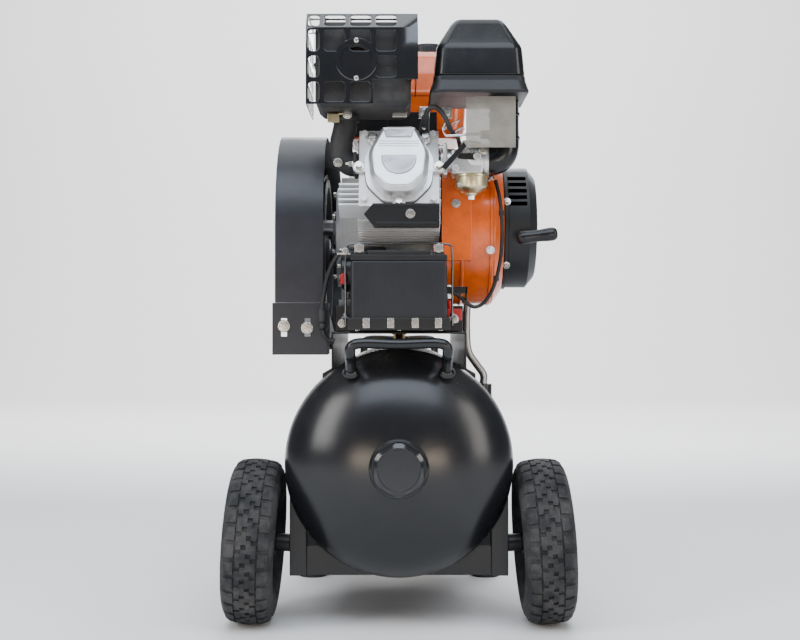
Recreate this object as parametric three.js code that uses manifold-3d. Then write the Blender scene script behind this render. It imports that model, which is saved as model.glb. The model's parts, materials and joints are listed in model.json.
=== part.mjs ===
// Engine-driven air compressor on a wheeled horizontal tank. Millimetres, +Z up, +X to the starter side,
// +Y from the plugged tank end with the wheels to the pump end. The origin is on the floor, mid-length.
import * as THREE from "three";
import { mergeVertices } from "three/addons/utils/BufferGeometryUtils.js";
import Module from "manifold-3d";

const wasm = await Module();
wasm.setup();

// ---- Driving dimensions ----
const GAP = 0.3; // clearance between pieces that touch
const SHEET = 3; // folded sheet steel

const TANK_RADIUS = 175;
const TANK_BARREL = 600; // straight length between the dished heads
const TANK_HEAD = 88; // depth of each head
const TANK_WALL = 3;
const TANK_HEIGHT = TANK_RADIUS + 81; // axis above the floor
const PORT_RADIUS = 30;
const BOSS_RADIUS = 42;
const BOSS_STAND = 8; // boss beyond the crown of the head
const PLUG_HEAD = 12;

const WHEEL_RADIUS = 129;
const TYRE_WIDTH = 80;
const RIM_RADIUS = 54;
const WHEEL_TRACK = TANK_RADIUS * 2 + 104; // between the wheel centres
const WHEEL_CAMBER = THREE.MathUtils.degToRad(3.4);
const AXLE_RADIUS = 10;
const AXLE_SETBACK = 51; // axle behind the front knuckle of the tank
const LEG_SPREAD = TANK_RADIUS * 2 - 9; // over the outside of the bracket legs
const LEG_WIDTH = 26;
const LEG_DEPTH = 40;
const LEG_FOOT = TANK_HEIGHT - TANK_RADIUS - 4; // lowest edge of the bracket
const FOOT_SPREAD = TANK_RADIUS * 2 - 28; // between the rubber feet
const FOOT_RADIUS = 27;
const FOOT_HEIGHT = 30;
const FOOT_FROM_AXLE = 392;

const PLATFORM_WIDTH = 208;
const PLATFORM_TOP = TANK_HEIGHT + TANK_RADIUS + 26;
const PLATFORM_FLANGE = 14; // foot of each side, along the tank
const RAIL_WIDTH = 198;
const RAIL_HEIGHT = 41;
const RAIL_LENGTH = 300;

const CRANK_HEIGHT = 129.5; // above the engine's base
const CRANK_SETBACK = 90; // crankshaft behind the axle
const CRANK_RADIUS = 12.7;
const CYLINDER_TILT = THREE.MathUtils.degToRad(22);
const CYLINDER_BORE = 44; // radius of the bore
const FIN_PITCH = 8.5;
const SHROUD_RADIUS = 126;
const RECOIL_RADIUS = 98;

const PULLEY_RADIUS = 52;
const FLYWHEEL_RADIUS = 150;
const BELT_PLANE = -155; // middle of the belt, across the machine
const BELT_WIDTH = 34;
const BELT_THICK = 9;
const PUMP_SETBACK = 374; // pump shaft behind the engine's crankshaft
const PUMP_SHAFT_HEIGHT = FLYWHEEL_RADIUS - 7; // above the platform
const PUMP_SHAFT_RADIUS = 16;
const PUMP_BANK = THREE.MathUtils.degToRad(38); // each cylinder from upright
const GUARD_LEFT = -190;
const GUARD_RIGHT = -116;
const GUARD_CLEAR = 25; // air between flywheel and guard
const GUARD_NOSE = 148; // radius of the guard round the engine's shaft

const BATTERY = { width: 141, depth: 88, height: 112 };

// ---- Places worked out from them ----
const RAIL_TOP = PLATFORM_TOP + RAIL_HEIGHT;
const KNUCKLE = TANK_BARREL / 2;
const CROWN = KNUCKLE + TANK_HEAD;
const BOSS_FACE = CROWN + BOSS_STAND;
const AXLE_Y = -KNUCKLE + AXLE_SETBACK;
const FOOT_Y = AXLE_Y + FOOT_FROM_AXLE;
const CRANK_Y = AXLE_Y + CRANK_SETBACK;
const CRANK_Z = RAIL_TOP + CRANK_HEIGHT;
const PUMP_Y = CRANK_Y + PUMP_SETBACK;
const PUMP_Z = PLATFORM_TOP + PUMP_SHAFT_HEIGHT;
const PLATFORM_FRONT = -KNUCKLE + 2;
const PLATFORM_BACK = KNUCKLE - 8;
const RAIL_FRONT = PLATFORM_FRONT + 10;
const BATTERY_BACK = RAIL_FRONT - 8;
const BATTERY_FLOOR = PLATFORM_TOP + 6;

// ---- Finishes ----
function finish(color, roughness, metalness) {
  return new THREE.MeshStandardMaterial({ color, roughness, metalness });
}
const BLACK_PAINT = finish(0x14161a, 0.35, 0.2);
const GUARD_PAINT = finish(0x2b2e36, 0.45, 0.2);
const BLACK_PLASTIC = finish(0x16171a, 0.5, 0);
const RUBBER = finish(0x26282b, 0.9, 0);
const ALUMINIUM = finish(0xb9bcbf, 0.45, 0.9);
const BRIGHT_ALUMINIUM = finish(0xd6d9dc, 0.3, 0.95);
const CAST_IRON = finish(0x3a3d42, 0.6, 0.5);
const STEEL = finish(0x9fa2a6, 0.35, 1);
const ZINC = finish(0xc9ccd0, 0.3, 1);
const ORANGE = finish(0xd4590f, 0.35, 0.1);
const BRASS = finish(0xb08d4a, 0.35, 1);
const SMOKED_PLASTIC = finish(0x9a9a96, 0.3, 0);
const RED_PLASTIC = finish(0xb01717, 0.5, 0);
const HOT_BLACK = finish(0x1b1c1d, 0.75, 0.3);

// ---- Shapes ----
const X = new THREE.Vector3(1, 0, 0);
const Y = new THREE.Vector3(0, 1, 0);
const Z = new THREE.Vector3(0, 0, 1);
const vectors = (points) => points.map((p) => new THREE.Vector3(...p));

// A closed geometry as a solid that can be joined and cut.
function solid(geometry) {
  const bare = geometry.clone();
  bare.deleteAttribute("normal");
  bare.deleteAttribute("uv");
  const merged = mergeVertices(bare, 1e-4);
  const corners = merged.index.array;
  const whole = [];
  for (let i = 0; i < corners.length; i += 3) {
    const [a, b, c] = corners.slice(i, i + 3);
    if (a !== b && b !== c && c !== a) whole.push(a, b, c);
  }
  const vertProperties = new Float32Array(merged.attributes.position.array);
  return new wasm.Manifold(new wasm.Mesh({ numProp: 3, vertProperties, triVerts: new Uint32Array(whole) }));
}

function geometryOf(body) {
  const mesh = body.getMesh();
  const geometry = new THREE.BufferGeometry();
  geometry.setAttribute("position", new THREE.BufferAttribute(mesh.vertProperties, 3));
  geometry.setIndex(new THREE.BufferAttribute(mesh.triVerts, 1));
  geometry.computeVertexNormals();
  return geometry;
}

const join = (...pieces) => geometryOf(pieces.map(solid).reduce((whole, piece) => whole.add(piece)));
const without = (rest, tool) => rest.subtract(tool);
const cut = (base, ...tools) => geometryOf(tools.map(solid).reduce(without, solid(base)));

// A block between two opposite corners.
function block(x0, x1, y0, y1, z0, z1) {
  const box = new THREE.BoxGeometry(x1 - x0, y1 - y0, z1 - z0);
  return box.translate((x0 + x1) / 2, (y0 + y1) / 2, (z0 + z1) / 2);
}

// Turns a shape made along +Y so that it lies along an axis through a centre in the other two directions.
function lay(geometry, axis, centre) {
  const [u, v] = centre;
  if (axis === "x") return geometry.rotateZ(-Math.PI / 2).translate(0, u, v);
  if (axis === "z") return geometry.rotateX(Math.PI / 2).translate(u, v, 0);
  return geometry.translate(u, 0, v);
}

function rod(axis, radius, from, to, centre = [0, 0], sides = 20) {
  const cylinder = new THREE.CylinderGeometry(radius, radius, to - from, sides);
  return lay(cylinder.translate(0, (from + to) / 2, 0), axis, centre);
}

// A turned shape: profile points are [radius, distance along the axis], with the shape on their left.
function turned(axis, profile, centre = [0, 0], sides = 24) {
  const area = profile.reduce((sum, [r, h], i) => {
    const [nextR, nextH] = profile[(i + 1) % profile.length];
    return sum + r * nextH - nextR * h;
  }, 0);
  const ordered = area > 0 ? [...profile] : [...profile].reverse();
  if (ordered.some(([r]) => r > 0) && !ordered.some(([r]) => r === 0)) ordered.push(ordered[0]);
  else while (ordered[0][0] !== 0 || ordered.at(-1)[0] !== 0) ordered.push(ordered.shift());
  const points = ordered.map(([r, h]) => new THREE.Vector2(r, h));
  return lay(new THREE.LatheGeometry(points, sides), axis, centre);
}

const outline = (points) => new THREE.Shape(points.map(([u, v]) => new THREE.Vector2(u, v)));

function polygon(radius, sides, turn = 0) {
  const corner = (i) => turn + (i / sides) * 2 * Math.PI;
  const at = (_, i) => [radius * Math.cos(corner(i)), radius * Math.sin(corner(i))];
  return Array.from({ length: sides }, at);
}

function arc(u, v, radius, from, to, steps) {
  const angle = (i) => from + ((to - from) * i) / steps;
  const onArc = (_, i) => [u + radius * Math.cos(angle(i)), v + radius * Math.sin(angle(i))];
  return Array.from({ length: steps + 1 }, onArc);
}

// A flat piece: its outline is in the two directions that follow the axis, x: (y, z), y: (x, z), z: (x, y).
function plate(axis, points, from, to) {
  const geometry = new THREE.ExtrudeGeometry(outline(points), { depth: to - from, bevelEnabled: false });
  const turn = new THREE.Matrix4();
  if (axis === "x") turn.makeBasis(Y, Z, X);
  if (axis === "y") turn.makeBasis(X, Z, Y.clone().negate());
  return geometry.translate(0, 0, axis === "y" ? -to : from).applyMatrix4(turn);
}

function tube(points, radius, steps, sides = 8) {
  const path = new THREE.CatmullRomCurve3(vectors(points), false, "centripetal");
  const section = outline(polygon(radius, sides, Math.PI / sides));
  return new THREE.ExtrudeGeometry(section, { steps, extrudePath: path, bevelEnabled: false });
}

// Moves the corners of a geometry by a function of each point.
function shaped(geometry, move) {
  const position = geometry.attributes.position;
  const point = new THREE.Vector3();
  for (let i = 0; i < position.count; i++) {
    point.fromBufferAttribute(position, i);
    move(point);
    position.setXYZ(i, point.x, point.y, point.z);
  }
  return geometry;
}

// A box with rounded upright edges whose sides lean in with height: levels are [height, inset] pairs.
function cover(x0, x1, y0, y1, levels, radius, insetBack = 1) {
  const [u, v] = [(x0 + x1) / 2, (y0 + y1) / 2];
  const corners = [[x1, y1, 0], [x0, y1, 1], [x0, y0, 2], [x1, y0, 3]].flatMap(([x, y, quarter]) => {
    const centre = [x - Math.sign(x - u) * radius, y - Math.sign(y - v) * radius];
    return arc(...centre, radius, (quarter * Math.PI) / 2, ((quarter + 1) * Math.PI) / 2, 2);
  });
  const steps = levels.length - 1;
  const geometry = new THREE.ExtrudeGeometry(outline(corners), { depth: 1, steps, bevelEnabled: false });
  return shaped(geometry, (point) => {
    const [height, inset] = levels[Math.round(point.z * steps)];
    const back = point.y > v ? insetBack : 1;
    point.x += ((u - point.x) / (x1 - u)) * inset;
    point.y += ((v - point.y) / (y1 - v)) * inset * back;
    point.z = height;
  });
}

const group = new THREE.Group();

function add(parent, name, geometry, material) {
  const mesh = new THREE.Mesh(geometry, material);
  mesh.name = name;
  parent.add(mesh);
  return mesh;
}

function place(parent, x, y, z) {
  const made = new THREE.Group();
  made.position.set(x, y, z);
  parent.add(made);
  return made;
}

// ---- Tank ----
const tankCut = (extra) => rod("y", TANK_RADIUS + extra, -KNUCKLE - 200, KNUCKLE + 200, [0, TANK_HEIGHT], 64);

const TANK_SIDES = 28;

function headCurve(radius, depth, fromRadius, steps) {
  const start = Math.asin(fromRadius / radius);
  const angle = (i) => start + ((Math.PI / 2 - start) * i) / steps;
  const at = (_, i) => [radius * Math.sin(angle(i)), depth * Math.cos(angle(i))];
  return Array.from({ length: steps + 1 }, at);
}

function tankShell() {
  const outer = headCurve(TANK_RADIUS, TANK_HEAD, BOSS_RADIUS, 4);
  const inner = headCurve(TANK_RADIUS - TANK_WALL, TANK_HEAD - TANK_WALL, PORT_RADIUS, 2);
  const front = outer.map(([r, h]) => [r, -KNUCKLE - h]);
  const back = outer.map(([r, h]) => [r, KNUCKLE + h]).reverse();
  const innerBack = inner.map(([r, h]) => [r, KNUCKLE + h]);
  const innerFront = inner.map(([r, h]) => [r, -KNUCKLE - h]).reverse();
  const ends = (side) => [[BOSS_RADIUS, side * BOSS_FACE], [PORT_RADIUS, side * BOSS_FACE]];
  const profile = [...ends(-1).reverse(), ...front, ...back, ...ends(1), ...innerBack, ...innerFront];
  return turned("y", profile, [0, TANK_HEIGHT], TANK_SIDES);
}

const DRAIN_Y = 200;
const RISER_Y = KNUCKLE + 30;
const RISER_RADIUS = 12;
const CHECK_VALVE = { x: 150, y: 20, radius: 11 };
const tankTopAt = (x) => TANK_HEIGHT + Math.sqrt(TANK_RADIUS ** 2 - x ** 2);

// The shell with its welded sockets for the drain, the check valve and the manifold riser.
function airTank() {
  const drain = rod("z", 13, TANK_HEIGHT - TANK_RADIUS - 10, TANK_HEIGHT - TANK_RADIUS + 3, [0, DRAIN_Y], 12);
  const checkTop = tankTopAt(CHECK_VALVE.x) + 18;
  const check = rod("z", CHECK_VALVE.radius + 4, checkTop - 26, checkTop, [CHECK_VALVE.x, CHECK_VALVE.y], 12);
  const headTop = TANK_HEIGHT + TANK_RADIUS * Math.sqrt(1 - ((RISER_Y - KNUCKLE) / TANK_HEAD) ** 2);
  const riser = rod("z", RISER_RADIUS + 4, headTop - 6, headTop + 10, [0, RISER_Y], 12);
  const inside = rod("y", TANK_RADIUS - TANK_WALL - 1, -KNUCKLE, KNUCKLE, [0, TANK_HEIGHT], TANK_SIDES);
  return join(tankShell(), cut(drain, inside), cut(check, inside), cut(riser, inside));
}

// A round plug whose head is a chamfered hexagon.
function tankPlug(side) {
  const seat = BOSS_FACE + GAP;
  const face = seat + PLUG_HEAD;
  const stem = PORT_RADIUS - GAP;
  const shank = [[0, seat - 24], [stem, seat - 24], [stem, seat]];
  const profile = [...shank, [38, seat], [39, seat + 3], [33, face], [0, face]];
  const plug = turned("y", profile.map(([r, h]) => [r, side * h]), [0, TANK_HEIGHT], 18);
  const flats = Array.from({ length: 6 }, (_, i) => {
    const flat = block(36, 60, -200, 200, -60, 60).translate(0, side * (seat + 205), 0);
    return flat.rotateY((i * Math.PI) / 3).translate(0, 0, TANK_HEIGHT);
  });
  return cut(plug, ...flats);
}

add(group, "air_tank", airTank(), BLACK_PAINT);
add(group, "tank_plug_front", tankPlug(-1), BLACK_PAINT);
add(group, "tank_plug_rear", tankPlug(1), BLACK_PAINT);

// ---- Wheels and axle bracket ----
function tyreProfile() {
  const half = TYRE_WIDTH / 2;
  const crown = WHEEL_RADIUS - RIM_RADIUS;
  const outer = [[0.42, 0], [0.5, 0.16], [0.9, 0.36], [1, 0.6], [0.93, 0.8], [0.74, 0.94], [0.38, 0.99]];
  const side = outer.map(([across, up]) => [RIM_RADIUS + up * crown, across * half]);
  const inside = [[RIM_RADIUS + crown * 0.84, half * 0.5], [RIM_RADIUS + crown * 0.3, half * 0.36]];
  const mirror = (points) => points.map(([r, x]) => [r, -x]);
  return [...mirror(side), ...[...side].reverse(), ...[...inside].reverse(), ...mirror(inside)];
}

const WHEEL_HEIGHT = Math.max(
  ...tyreProfile().map(([r, x]) => r * Math.cos(WHEEL_CAMBER) + Math.abs(x) * Math.sin(WHEEL_CAMBER)),
);

const WHEEL_SIDES = 24;
const tyre = () => turned("x", tyreProfile(), [0, 0], WHEEL_SIDES);

// A pressed rim with its well, disc and hub, bored for the stub axle.
function rim() {
  const flange = RIM_RADIUS - GAP;
  const half = TYRE_WIDTH * 0.2;
  const hub = 19;
  const right = [[flange, half + 3], [flange - 3, half + 3], [flange - 5, 6], [hub, 6], [hub, 34]];
  const bore = AXLE_RADIUS + GAP;
  const left = [[hub, -34], [hub, 1], [flange - 8, 1], [flange - 3, -half - 3], [flange, -half - 3]];
  return turned("x", [[bore, -34], ...left, ...right, [bore, 34]], [0, 0], WHEEL_SIDES);
}

function wheel(side, name) {
  const turnedIn = place(group, (side * WHEEL_TRACK) / 2, AXLE_Y, WHEEL_HEIGHT);
  turnedIn.rotation.y = -side * WHEEL_CAMBER;
  add(turnedIn, `tyre_${name}`, tyre(), RUBBER);
  add(turnedIn, `rim_${name}`, rim(), BLACK_PAINT);
}
wheel(-1, "left");
wheel(1, "right");

// A stub axle with its shoulder and end washer, tilted with the wheel.
function stubAxle(side) {
  const hubEnd = 34;
  const inner = WHEEL_TRACK / 2 - LEG_SPREAD / 2 + LEG_WIDTH / 2;
  const profile = [[0, -inner], [14, -inner], [14, -hubEnd - GAP], [AXLE_RADIUS, -hubEnd - GAP]];
  const cap = [[AXLE_RADIUS, hubEnd + 1], [15, hubEnd + 1], [15, hubEnd + 5], [0, hubEnd + 5]];
  const axle = turned("x", [...profile, ...cap].map(([r, h]) => [r, side * h]), [0, 0], 16);
  return axle.rotateY(-side * WHEEL_CAMBER).translate((side * WHEEL_TRACK) / 2, AXLE_Y, WHEEL_HEIGHT);
}

function axleBracket() {
  const outside = LEG_SPREAD / 2;
  const [front, back] = [AXLE_Y - LEG_DEPTH / 2, AXLE_Y + LEG_DEPTH / 2];
  const legTop = TANK_HEIGHT - 50;
  const legs = [-1, 1].map((side) => {
    const [near, far] = [side * (outside - LEG_WIDTH), side * outside].sort((a, b) => a - b);
    return block(near, far, front, back, LEG_FOOT, legTop);
  });
  const cross = block(-outside + 5, outside - 5, front + 6, front + 10, LEG_FOOT, LEG_FOOT + 45);
  const axles = [-1, 1].map(stubAxle);
  return join(cut(join(...legs, cross), tankCut(GAP)), ...axles);
}
add(group, "axle_bracket", axleBracket(), BLACK_PAINT);

// ---- Feet ----
function footBracket() {
  const half = FOOT_SPREAD / 2 + FOOT_RADIUS * 0.6;
  const floor = FOOT_HEIGHT + GAP;
  const web = block(-half, half, FOOT_Y - 2, FOOT_Y + 2, floor + 1, TANK_HEIGHT - TANK_RADIUS + 45);
  const shelf = block(-half, half, FOOT_Y - FOOT_RADIUS, FOOT_Y + FOOT_RADIUS, floor, floor + SHEET + 1);
  return cut(join(web, shelf), tankCut(GAP));
}

function rubberFoot(side) {
  const [r, h] = [FOOT_RADIUS, FOOT_HEIGHT];
  const profile = [[0, 0], [r, 0], [r, 9], [r - 6, 12], [r - 6, h], [0, h]];
  return turned("z", profile, [(side * FOOT_SPREAD) / 2, FOOT_Y], 16);
}
add(group, "foot_bracket", footBracket(), BLACK_PAINT);
add(group, "foot_left", rubberFoot(-1), RUBBER);
add(group, "foot_right", rubberFoot(1), RUBBER);

// ---- Lift handles, one on each head ----
const HANDLE_HALF = 72;
const HANDLE_RADIUS = 8;

function liftHandle(side) {
  const weldY = KNUCKLE + 48;
  const headReach = Math.sqrt(1 - ((weldY - KNUCKLE) / TANK_HEAD) ** 2);
  const headZ = TANK_HEIGHT + Math.sqrt((TANK_RADIUS * headReach) ** 2 - HANDLE_HALF ** 2);
  const weldZ = headZ + HANDLE_RADIUS + 1;
  const [barY, barZ] = [weldY + 38, weldZ + 45];
  const arm = (x) => [[x, weldY, weldZ], [x, weldY + 18, weldZ + 22], [x, barY - 6, barZ - 16]];
  const bend = (x) => [[x * 0.985, barY - 1, barZ - 5], [x * 0.9, barY, barZ]];
  const right = [...arm(HANDLE_HALF), ...bend(HANDLE_HALF)];
  const left = [...arm(-HANDLE_HALF), ...bend(-HANDLE_HALF)].reverse();
  const points = [...right, [0, barY, barZ], ...left].map(([x, y, z]) => [x, side * y, z]);
  return tube(points, HANDLE_RADIUS, 20);
}
add(group, "handle_front", liftHandle(-1), BLACK_PAINT);
add(group, "handle_rear", liftHandle(1), BLACK_PAINT);

// ---- Platform and engine rail ----
function platform() {
  const half = PLATFORM_WIDTH / 2;
  const low = tankTopAt(half + PLATFORM_FLANGE) - 4;
  const toeTop = tankTopAt(half) + 4;
  const inner = [[half - SHEET, low - 30], [half - SHEET, PLATFORM_TOP - SHEET]];
  const toe = half + PLATFORM_FLANGE;
  const right = [[half, PLATFORM_TOP], [half, toeTop], [toe, low + 12], [toe, low - 30]];
  const mirror = (points) => points.map(([x, z]) => [-x, z]).reverse();
  const section = [...right, ...inner, ...mirror(inner), ...mirror(right)];
  return cut(plate("y", section, PLATFORM_FRONT, PLATFORM_BACK), tankCut(GAP));
}

function channel(half, top, height, y0, y1) {
  const section = [[-half, top - height], [-half, top], [half, top], [half, top - height]];
  const inner = [[half - SHEET, top - height], [half - SHEET, top - SHEET], [SHEET - half, top - SHEET]];
  return plate("y", [...section, ...inner, [SHEET - half, top - height]], y0, y1);
}

function engineRail() {
  const half = RAIL_WIDTH / 2;
  const rail = channel(half, RAIL_TOP - GAP, RAIL_HEIGHT - 2 * GAP, RAIL_FRONT, RAIL_FRONT + RAIL_LENGTH);
  const nose = block(-half, half, RAIL_FRONT, RAIL_FRONT + SHEET, PLATFORM_TOP + GAP, RAIL_TOP - 1);
  return join(rail, nose);
}
add(group, "platform", platform(), BLACK_PAINT);
add(group, "engine_rail", engineRail(), BLACK_PAINT);

// ---- Battery ----
function batteryTray() {
  const half = BATTERY.width / 2 + 2;
  const [front, back] = [BATTERY_BACK - BATTERY.depth - 2, BATTERY_BACK + 2];
  const edge = half + SHEET;
  const floor = block(-edge, edge, front - SHEET, RAIL_FRONT - GAP, BATTERY_FLOOR - SHEET, BATTERY_FLOOR);
  const lip = BATTERY_FLOOR + 15;
  const walls = [
    block(-edge, edge, front - SHEET, front, BATTERY_FLOOR - 1, lip),
    block(-edge, -half, front - 1, back, BATTERY_FLOOR - 1, lip),
    block(half, edge, front - 1, back, BATTERY_FLOOR - 1, lip),
    block(-edge, edge, back, RAIL_FRONT - GAP, BATTERY_FLOOR - 1, RAIL_TOP - 6),
  ];
  return join(floor, ...walls);
}

function battery() {
  const half = BATTERY.width / 2;
  const [front, back] = [BATTERY_BACK - BATTERY.depth, BATTERY_BACK];
  const floor = BATTERY_FLOOR + GAP;
  const lidLine = floor + BATTERY.height - 4;
  const posts = [-1, 1].map((side) => {
    const x = side * (half - 11);
    return block(x - 8, x + 8, front + 5, front + 21, lidLine - 1, lidLine + 13);
  });
  const lid = block(-half + 22, half - 22, front + 2, back - 2, lidLine - 1, lidLine + 6);
  const levels = [[floor, 1.5], [floor + 4, 0], [lidLine - 1, 0], [lidLine, 1.5]];
  const body = cover(-half, half, front, back, levels, 4);
  return join(body, lid, ...posts);
}

// The wire hold-down: a loop over the lid, hooked to the tray's sides.
function batteryStrap() {
  const x = BATTERY.width / 2 + 9;
  const y = BATTERY_BACK - BATTERY.depth / 2;
  const [low, high] = [BATTERY_FLOOR + 4, BATTERY_FLOOR + BATTERY.height + 14];
  const side = [[x, y, low], [x, y, low + 40], [x, y, high - 12], [x - 2, y, high - 3], [x - 12, y, high]];
  const mirror = side.map(([u, v, w]) => [-u, v, w]).reverse();
  return tube([...side, [0, y, high], ...mirror], 2.2, 22, 6);
}

function cable(points, diameter, steps) {
  return tube(points, diameter / 2, steps, 8);
}

const BATTERY_CABLE = [
  [-80, -358, 577], [-88, -352, 575], [-98, -344, 563], [-107, -336, 543], [-113, -329, 518],
  [-117, -323, 492], [-117, -318, 470], [-115, -314, 455], [-110, -311, 447], [-104, -310, 444],
  [-98, -310, 443],
];
const SHROUD_CABLE = [
  [150, -279, 692], [155, -287, 668], [158, -293, 640], [159, -294, 608], [157, -289, 572],
  [151, -280, 540], [141, -272, 514], [128, -269, 499], [116, -272, 496], [104, -278, 503],
  [94, -283, 512], [84, -288, 518],
];

add(group, "battery", battery(), BLACK_PLASTIC);
add(group, "battery_tray", batteryTray(), BLACK_PAINT);
add(group, "battery_strap", batteryStrap(), STEEL);
// The routes are given for this axle and platform, and follow them.
const ROUTED_FROM = { axle: -249, platform: 457 };
const routed = (points) =>
  points.map(([x, y, z]) => [x, y + AXLE_Y - ROUTED_FROM.axle, z + PLATFORM_TOP - ROUTED_FROM.platform]);
add(group, "battery_cable", cable(routed(BATTERY_CABLE), 7, 13), BLACK_PLASTIC);
add(group, "shroud_cable", cable(routed(SHROUD_CABLE), 6, 18), BLACK_PLASTIC);

// ---- Engine, in a frame at the middle of its crankshaft ----
const engine = place(group, 0, CRANK_Y, CRANK_Z);
const BASE = -CRANK_HEIGHT + GAP;
const CASE = { left: -92, right: 62, front: -56, back: 118, top: 76 };

function crankcase() {
  const { left, right, front, back, top } = CASE;
  const body = block(left, right, front, back, BASE + 4, top);
  const feet = block(left - 4, right + 3, front - 4, back + 6, BASE, BASE + 10);
  const sideCover = rod("x", 82, left - 9, left + 1, [22, -14], 22);
  const boss = rod("x", 27, left - 15, left, [0, 0], 20);
  const posts = [-70, 40].map((x) => block(x, x + 12, 60, 100, top - 1, FUEL_TANK.low - GAP));
  const room = block(left + 8, right - 8, front + 8, back - 8, BASE + 12, top - 8);
  const bore = rod("x", CRANK_RADIUS + 6, left - 30, right + 30, [0, 0], 20);
  const cylinderHole = rod("y", CYLINDER_BORE + 1, -120, 0, [0, 0], 24).rotateX(-CYLINDER_TILT);
  const seat = block(-64, 64, -250, -62 + GAP, -64, 64).rotateX(-CYLINDER_TILT);
  return cut(join(body, feet, sideCover, boss, ...posts), room, bore, cylinderHole, seat);
}

const FUEL_TANK = { left: -96, right: 112, front: -2, back: 205, low: 150, top: 297 };

// Finned barrel and head, made along -Y and tilted with its group.
function cylinderBlock() {
  const barrel = block(-48, 48, -150, -62, -48, 48);
  const head = block(-60, 60, -195, -149, -60, 68);
  const barrelFins = Array.from({ length: 10 }, (_, i) => {
    const y = -148 + i * FIN_PITCH;
    return block(-63, 63, y, y + 2.4, -62, 62);
  });
  const headFins = Array.from({ length: 5 }, (_, i) => {
    const z = -58 + i * FIN_PITCH;
    return block(-90, -58, -194, -150, z, z + 2.6);
  });
  const bore = rod("y", CYLINDER_BORE, -150, 0, [0, 0], 24);
  return cut(join(barrel, head, ...barrelFins, ...headFins), bore);
}

// Outline of the rocker cover: a body narrowing to the top, with six ears for its bolts.
const ROCKER_BODY = [[-24, 56], [24, 56], [46, 12], [40, -28], [18, -52], [-18, -52], [-40, -28], [-46, 12]];
const ROCKER_EARS = [[-60, 2], [60, 2], [-40, 52], [40, 52], [0, -58]];

function rockerCover() {
  const seat = -195 - GAP;
  const flange = plate("y", ROCKER_BODY.map(([x, z]) => [x * 1.16, z * 1.1]), seat - 8, seat);
  const body = plate("y", ROCKER_BODY, seat - 40, seat - 7);
  const ears = ROCKER_EARS.map(([x, z]) => rod("y", 9, seat - 8, seat, [x, z], 12));
  const links = ROCKER_EARS.map(([x, z]) => {
    return block(0, Math.hypot(x, z), seat - 7, seat, -7, 7).rotateY(-Math.atan2(z, x));
  });
  return join(flange, body, ...ears, ...links);
}

const tilted = place(engine, 0, 0, 0);
tilted.rotation.x = -CYLINDER_TILT;

function cylinderDeflector() {
  const upright = [[-38, -14], [60, -14], [60, 20], [-38, 20], [-52, 4]];
  const face = plate("y", upright, -218, -216);
  const under = block(-38, 60, -217, -178, -14, -12);
  return join(face, under);
}

add(engine, "crankcase", crankcase(), ALUMINIUM);
add(tilted, "cylinder_block", cylinderBlock(), ALUMINIUM);
add(tilted, "rocker_cover", rockerCover(), BRIGHT_ALUMINIUM);
add(engine, "cylinder_deflector", cylinderDeflector(), BLACK_PAINT);

// Starter motor, lying along the crankcase below the cylinder.
function starterMotor() {
  const centre = [-96, -76];
  const can = [[0, -90], [28, -90], [32, -86], [32, 30], [26, 36], [26, 58], [0, 58]];
  const body = turned("x", can, centre, 18);
  const solenoid = rod("x", 12, -84, -20, [-118, -50], 10);
  const neck = block(-70, -30, -118, -96, -70, -50);
  return join(body, solenoid, neck);
}
add(engine, "starter_motor", starterMotor(), BLACK_PAINT);

// ---- Exhaust ----
const MUFFLER = { left: -124, right: 18, front: -226, back: -92, low: 162, top: 288 };
const PORT_Z = 84;

function exhaustPipe() {
  const bend = [[-63, PORT_Z], [-76, PORT_Z + 2], [-86, PORT_Z + 14], [-88, PORT_Z + 34], [-84, PORT_Z + 52]];
  const route = [...bend, [-82, MUFFLER.low - 14], [-82, MUFFLER.low - GAP]];
  return tube(route.map(([x, z]) => [x, -152, z]), 18, 12, 10);
}

function muffler() {
  const { left, right, front, back, low, top } = MUFFLER;
  const body = cover(left, right, front, back, [[low, 8], [low + 8, 0], [top - 8, 0], [top, 8]], 14);
  const room = block(left + 3, right - 3, front + 3, back - 3, low + 9, top - 9);
  const spout = rod("y", 15, front - 14, front + 4, [OUTLET.x, OUTLET.z]);
  const bore = rod("y", 12, front - 20, front + 8, [OUTLET.x, OUTLET.z]);
  return cut(join(cut(body, room), spout), bore);
}

const OUTLET = { x: -62, z: 227 };
const CAGE = { left: -136, right: 28, front: -245, back: -96, low: 162, top: 299 };
const BAR = 7;

// The muffler guard: a pressed cage, open behind and below, with square windows between its bars.
function mufflerGuard() {
  const { left, right, front, back, low, top } = CAGE;
  const profile = (inset, past) => [
    [back + past, low - past], [front + inset, low - past], [front + inset, top - 25],
    [front + 22 + inset / 2, top - inset], [back + past, top - inset],
  ];
  const shell = plate("x", profile(0, 0), left, right);
  const room = plate("x", profile(2, 10), left + 2, right - 2);
  const slant = [[-47, low - 5], [-24, low + 36], [right - 30, low + 36], [right - 30, low - 5]];
  const corner = plate("y", slant, front - 5, front + 3);
  return cut(shell, room, corner, ...cageWindows(), outletHole());
}

const outletHole = () => rod("y", 24, CAGE.front - 5, CAGE.front + 5, [OUTLET.x, OUTLET.z], 24);

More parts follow.
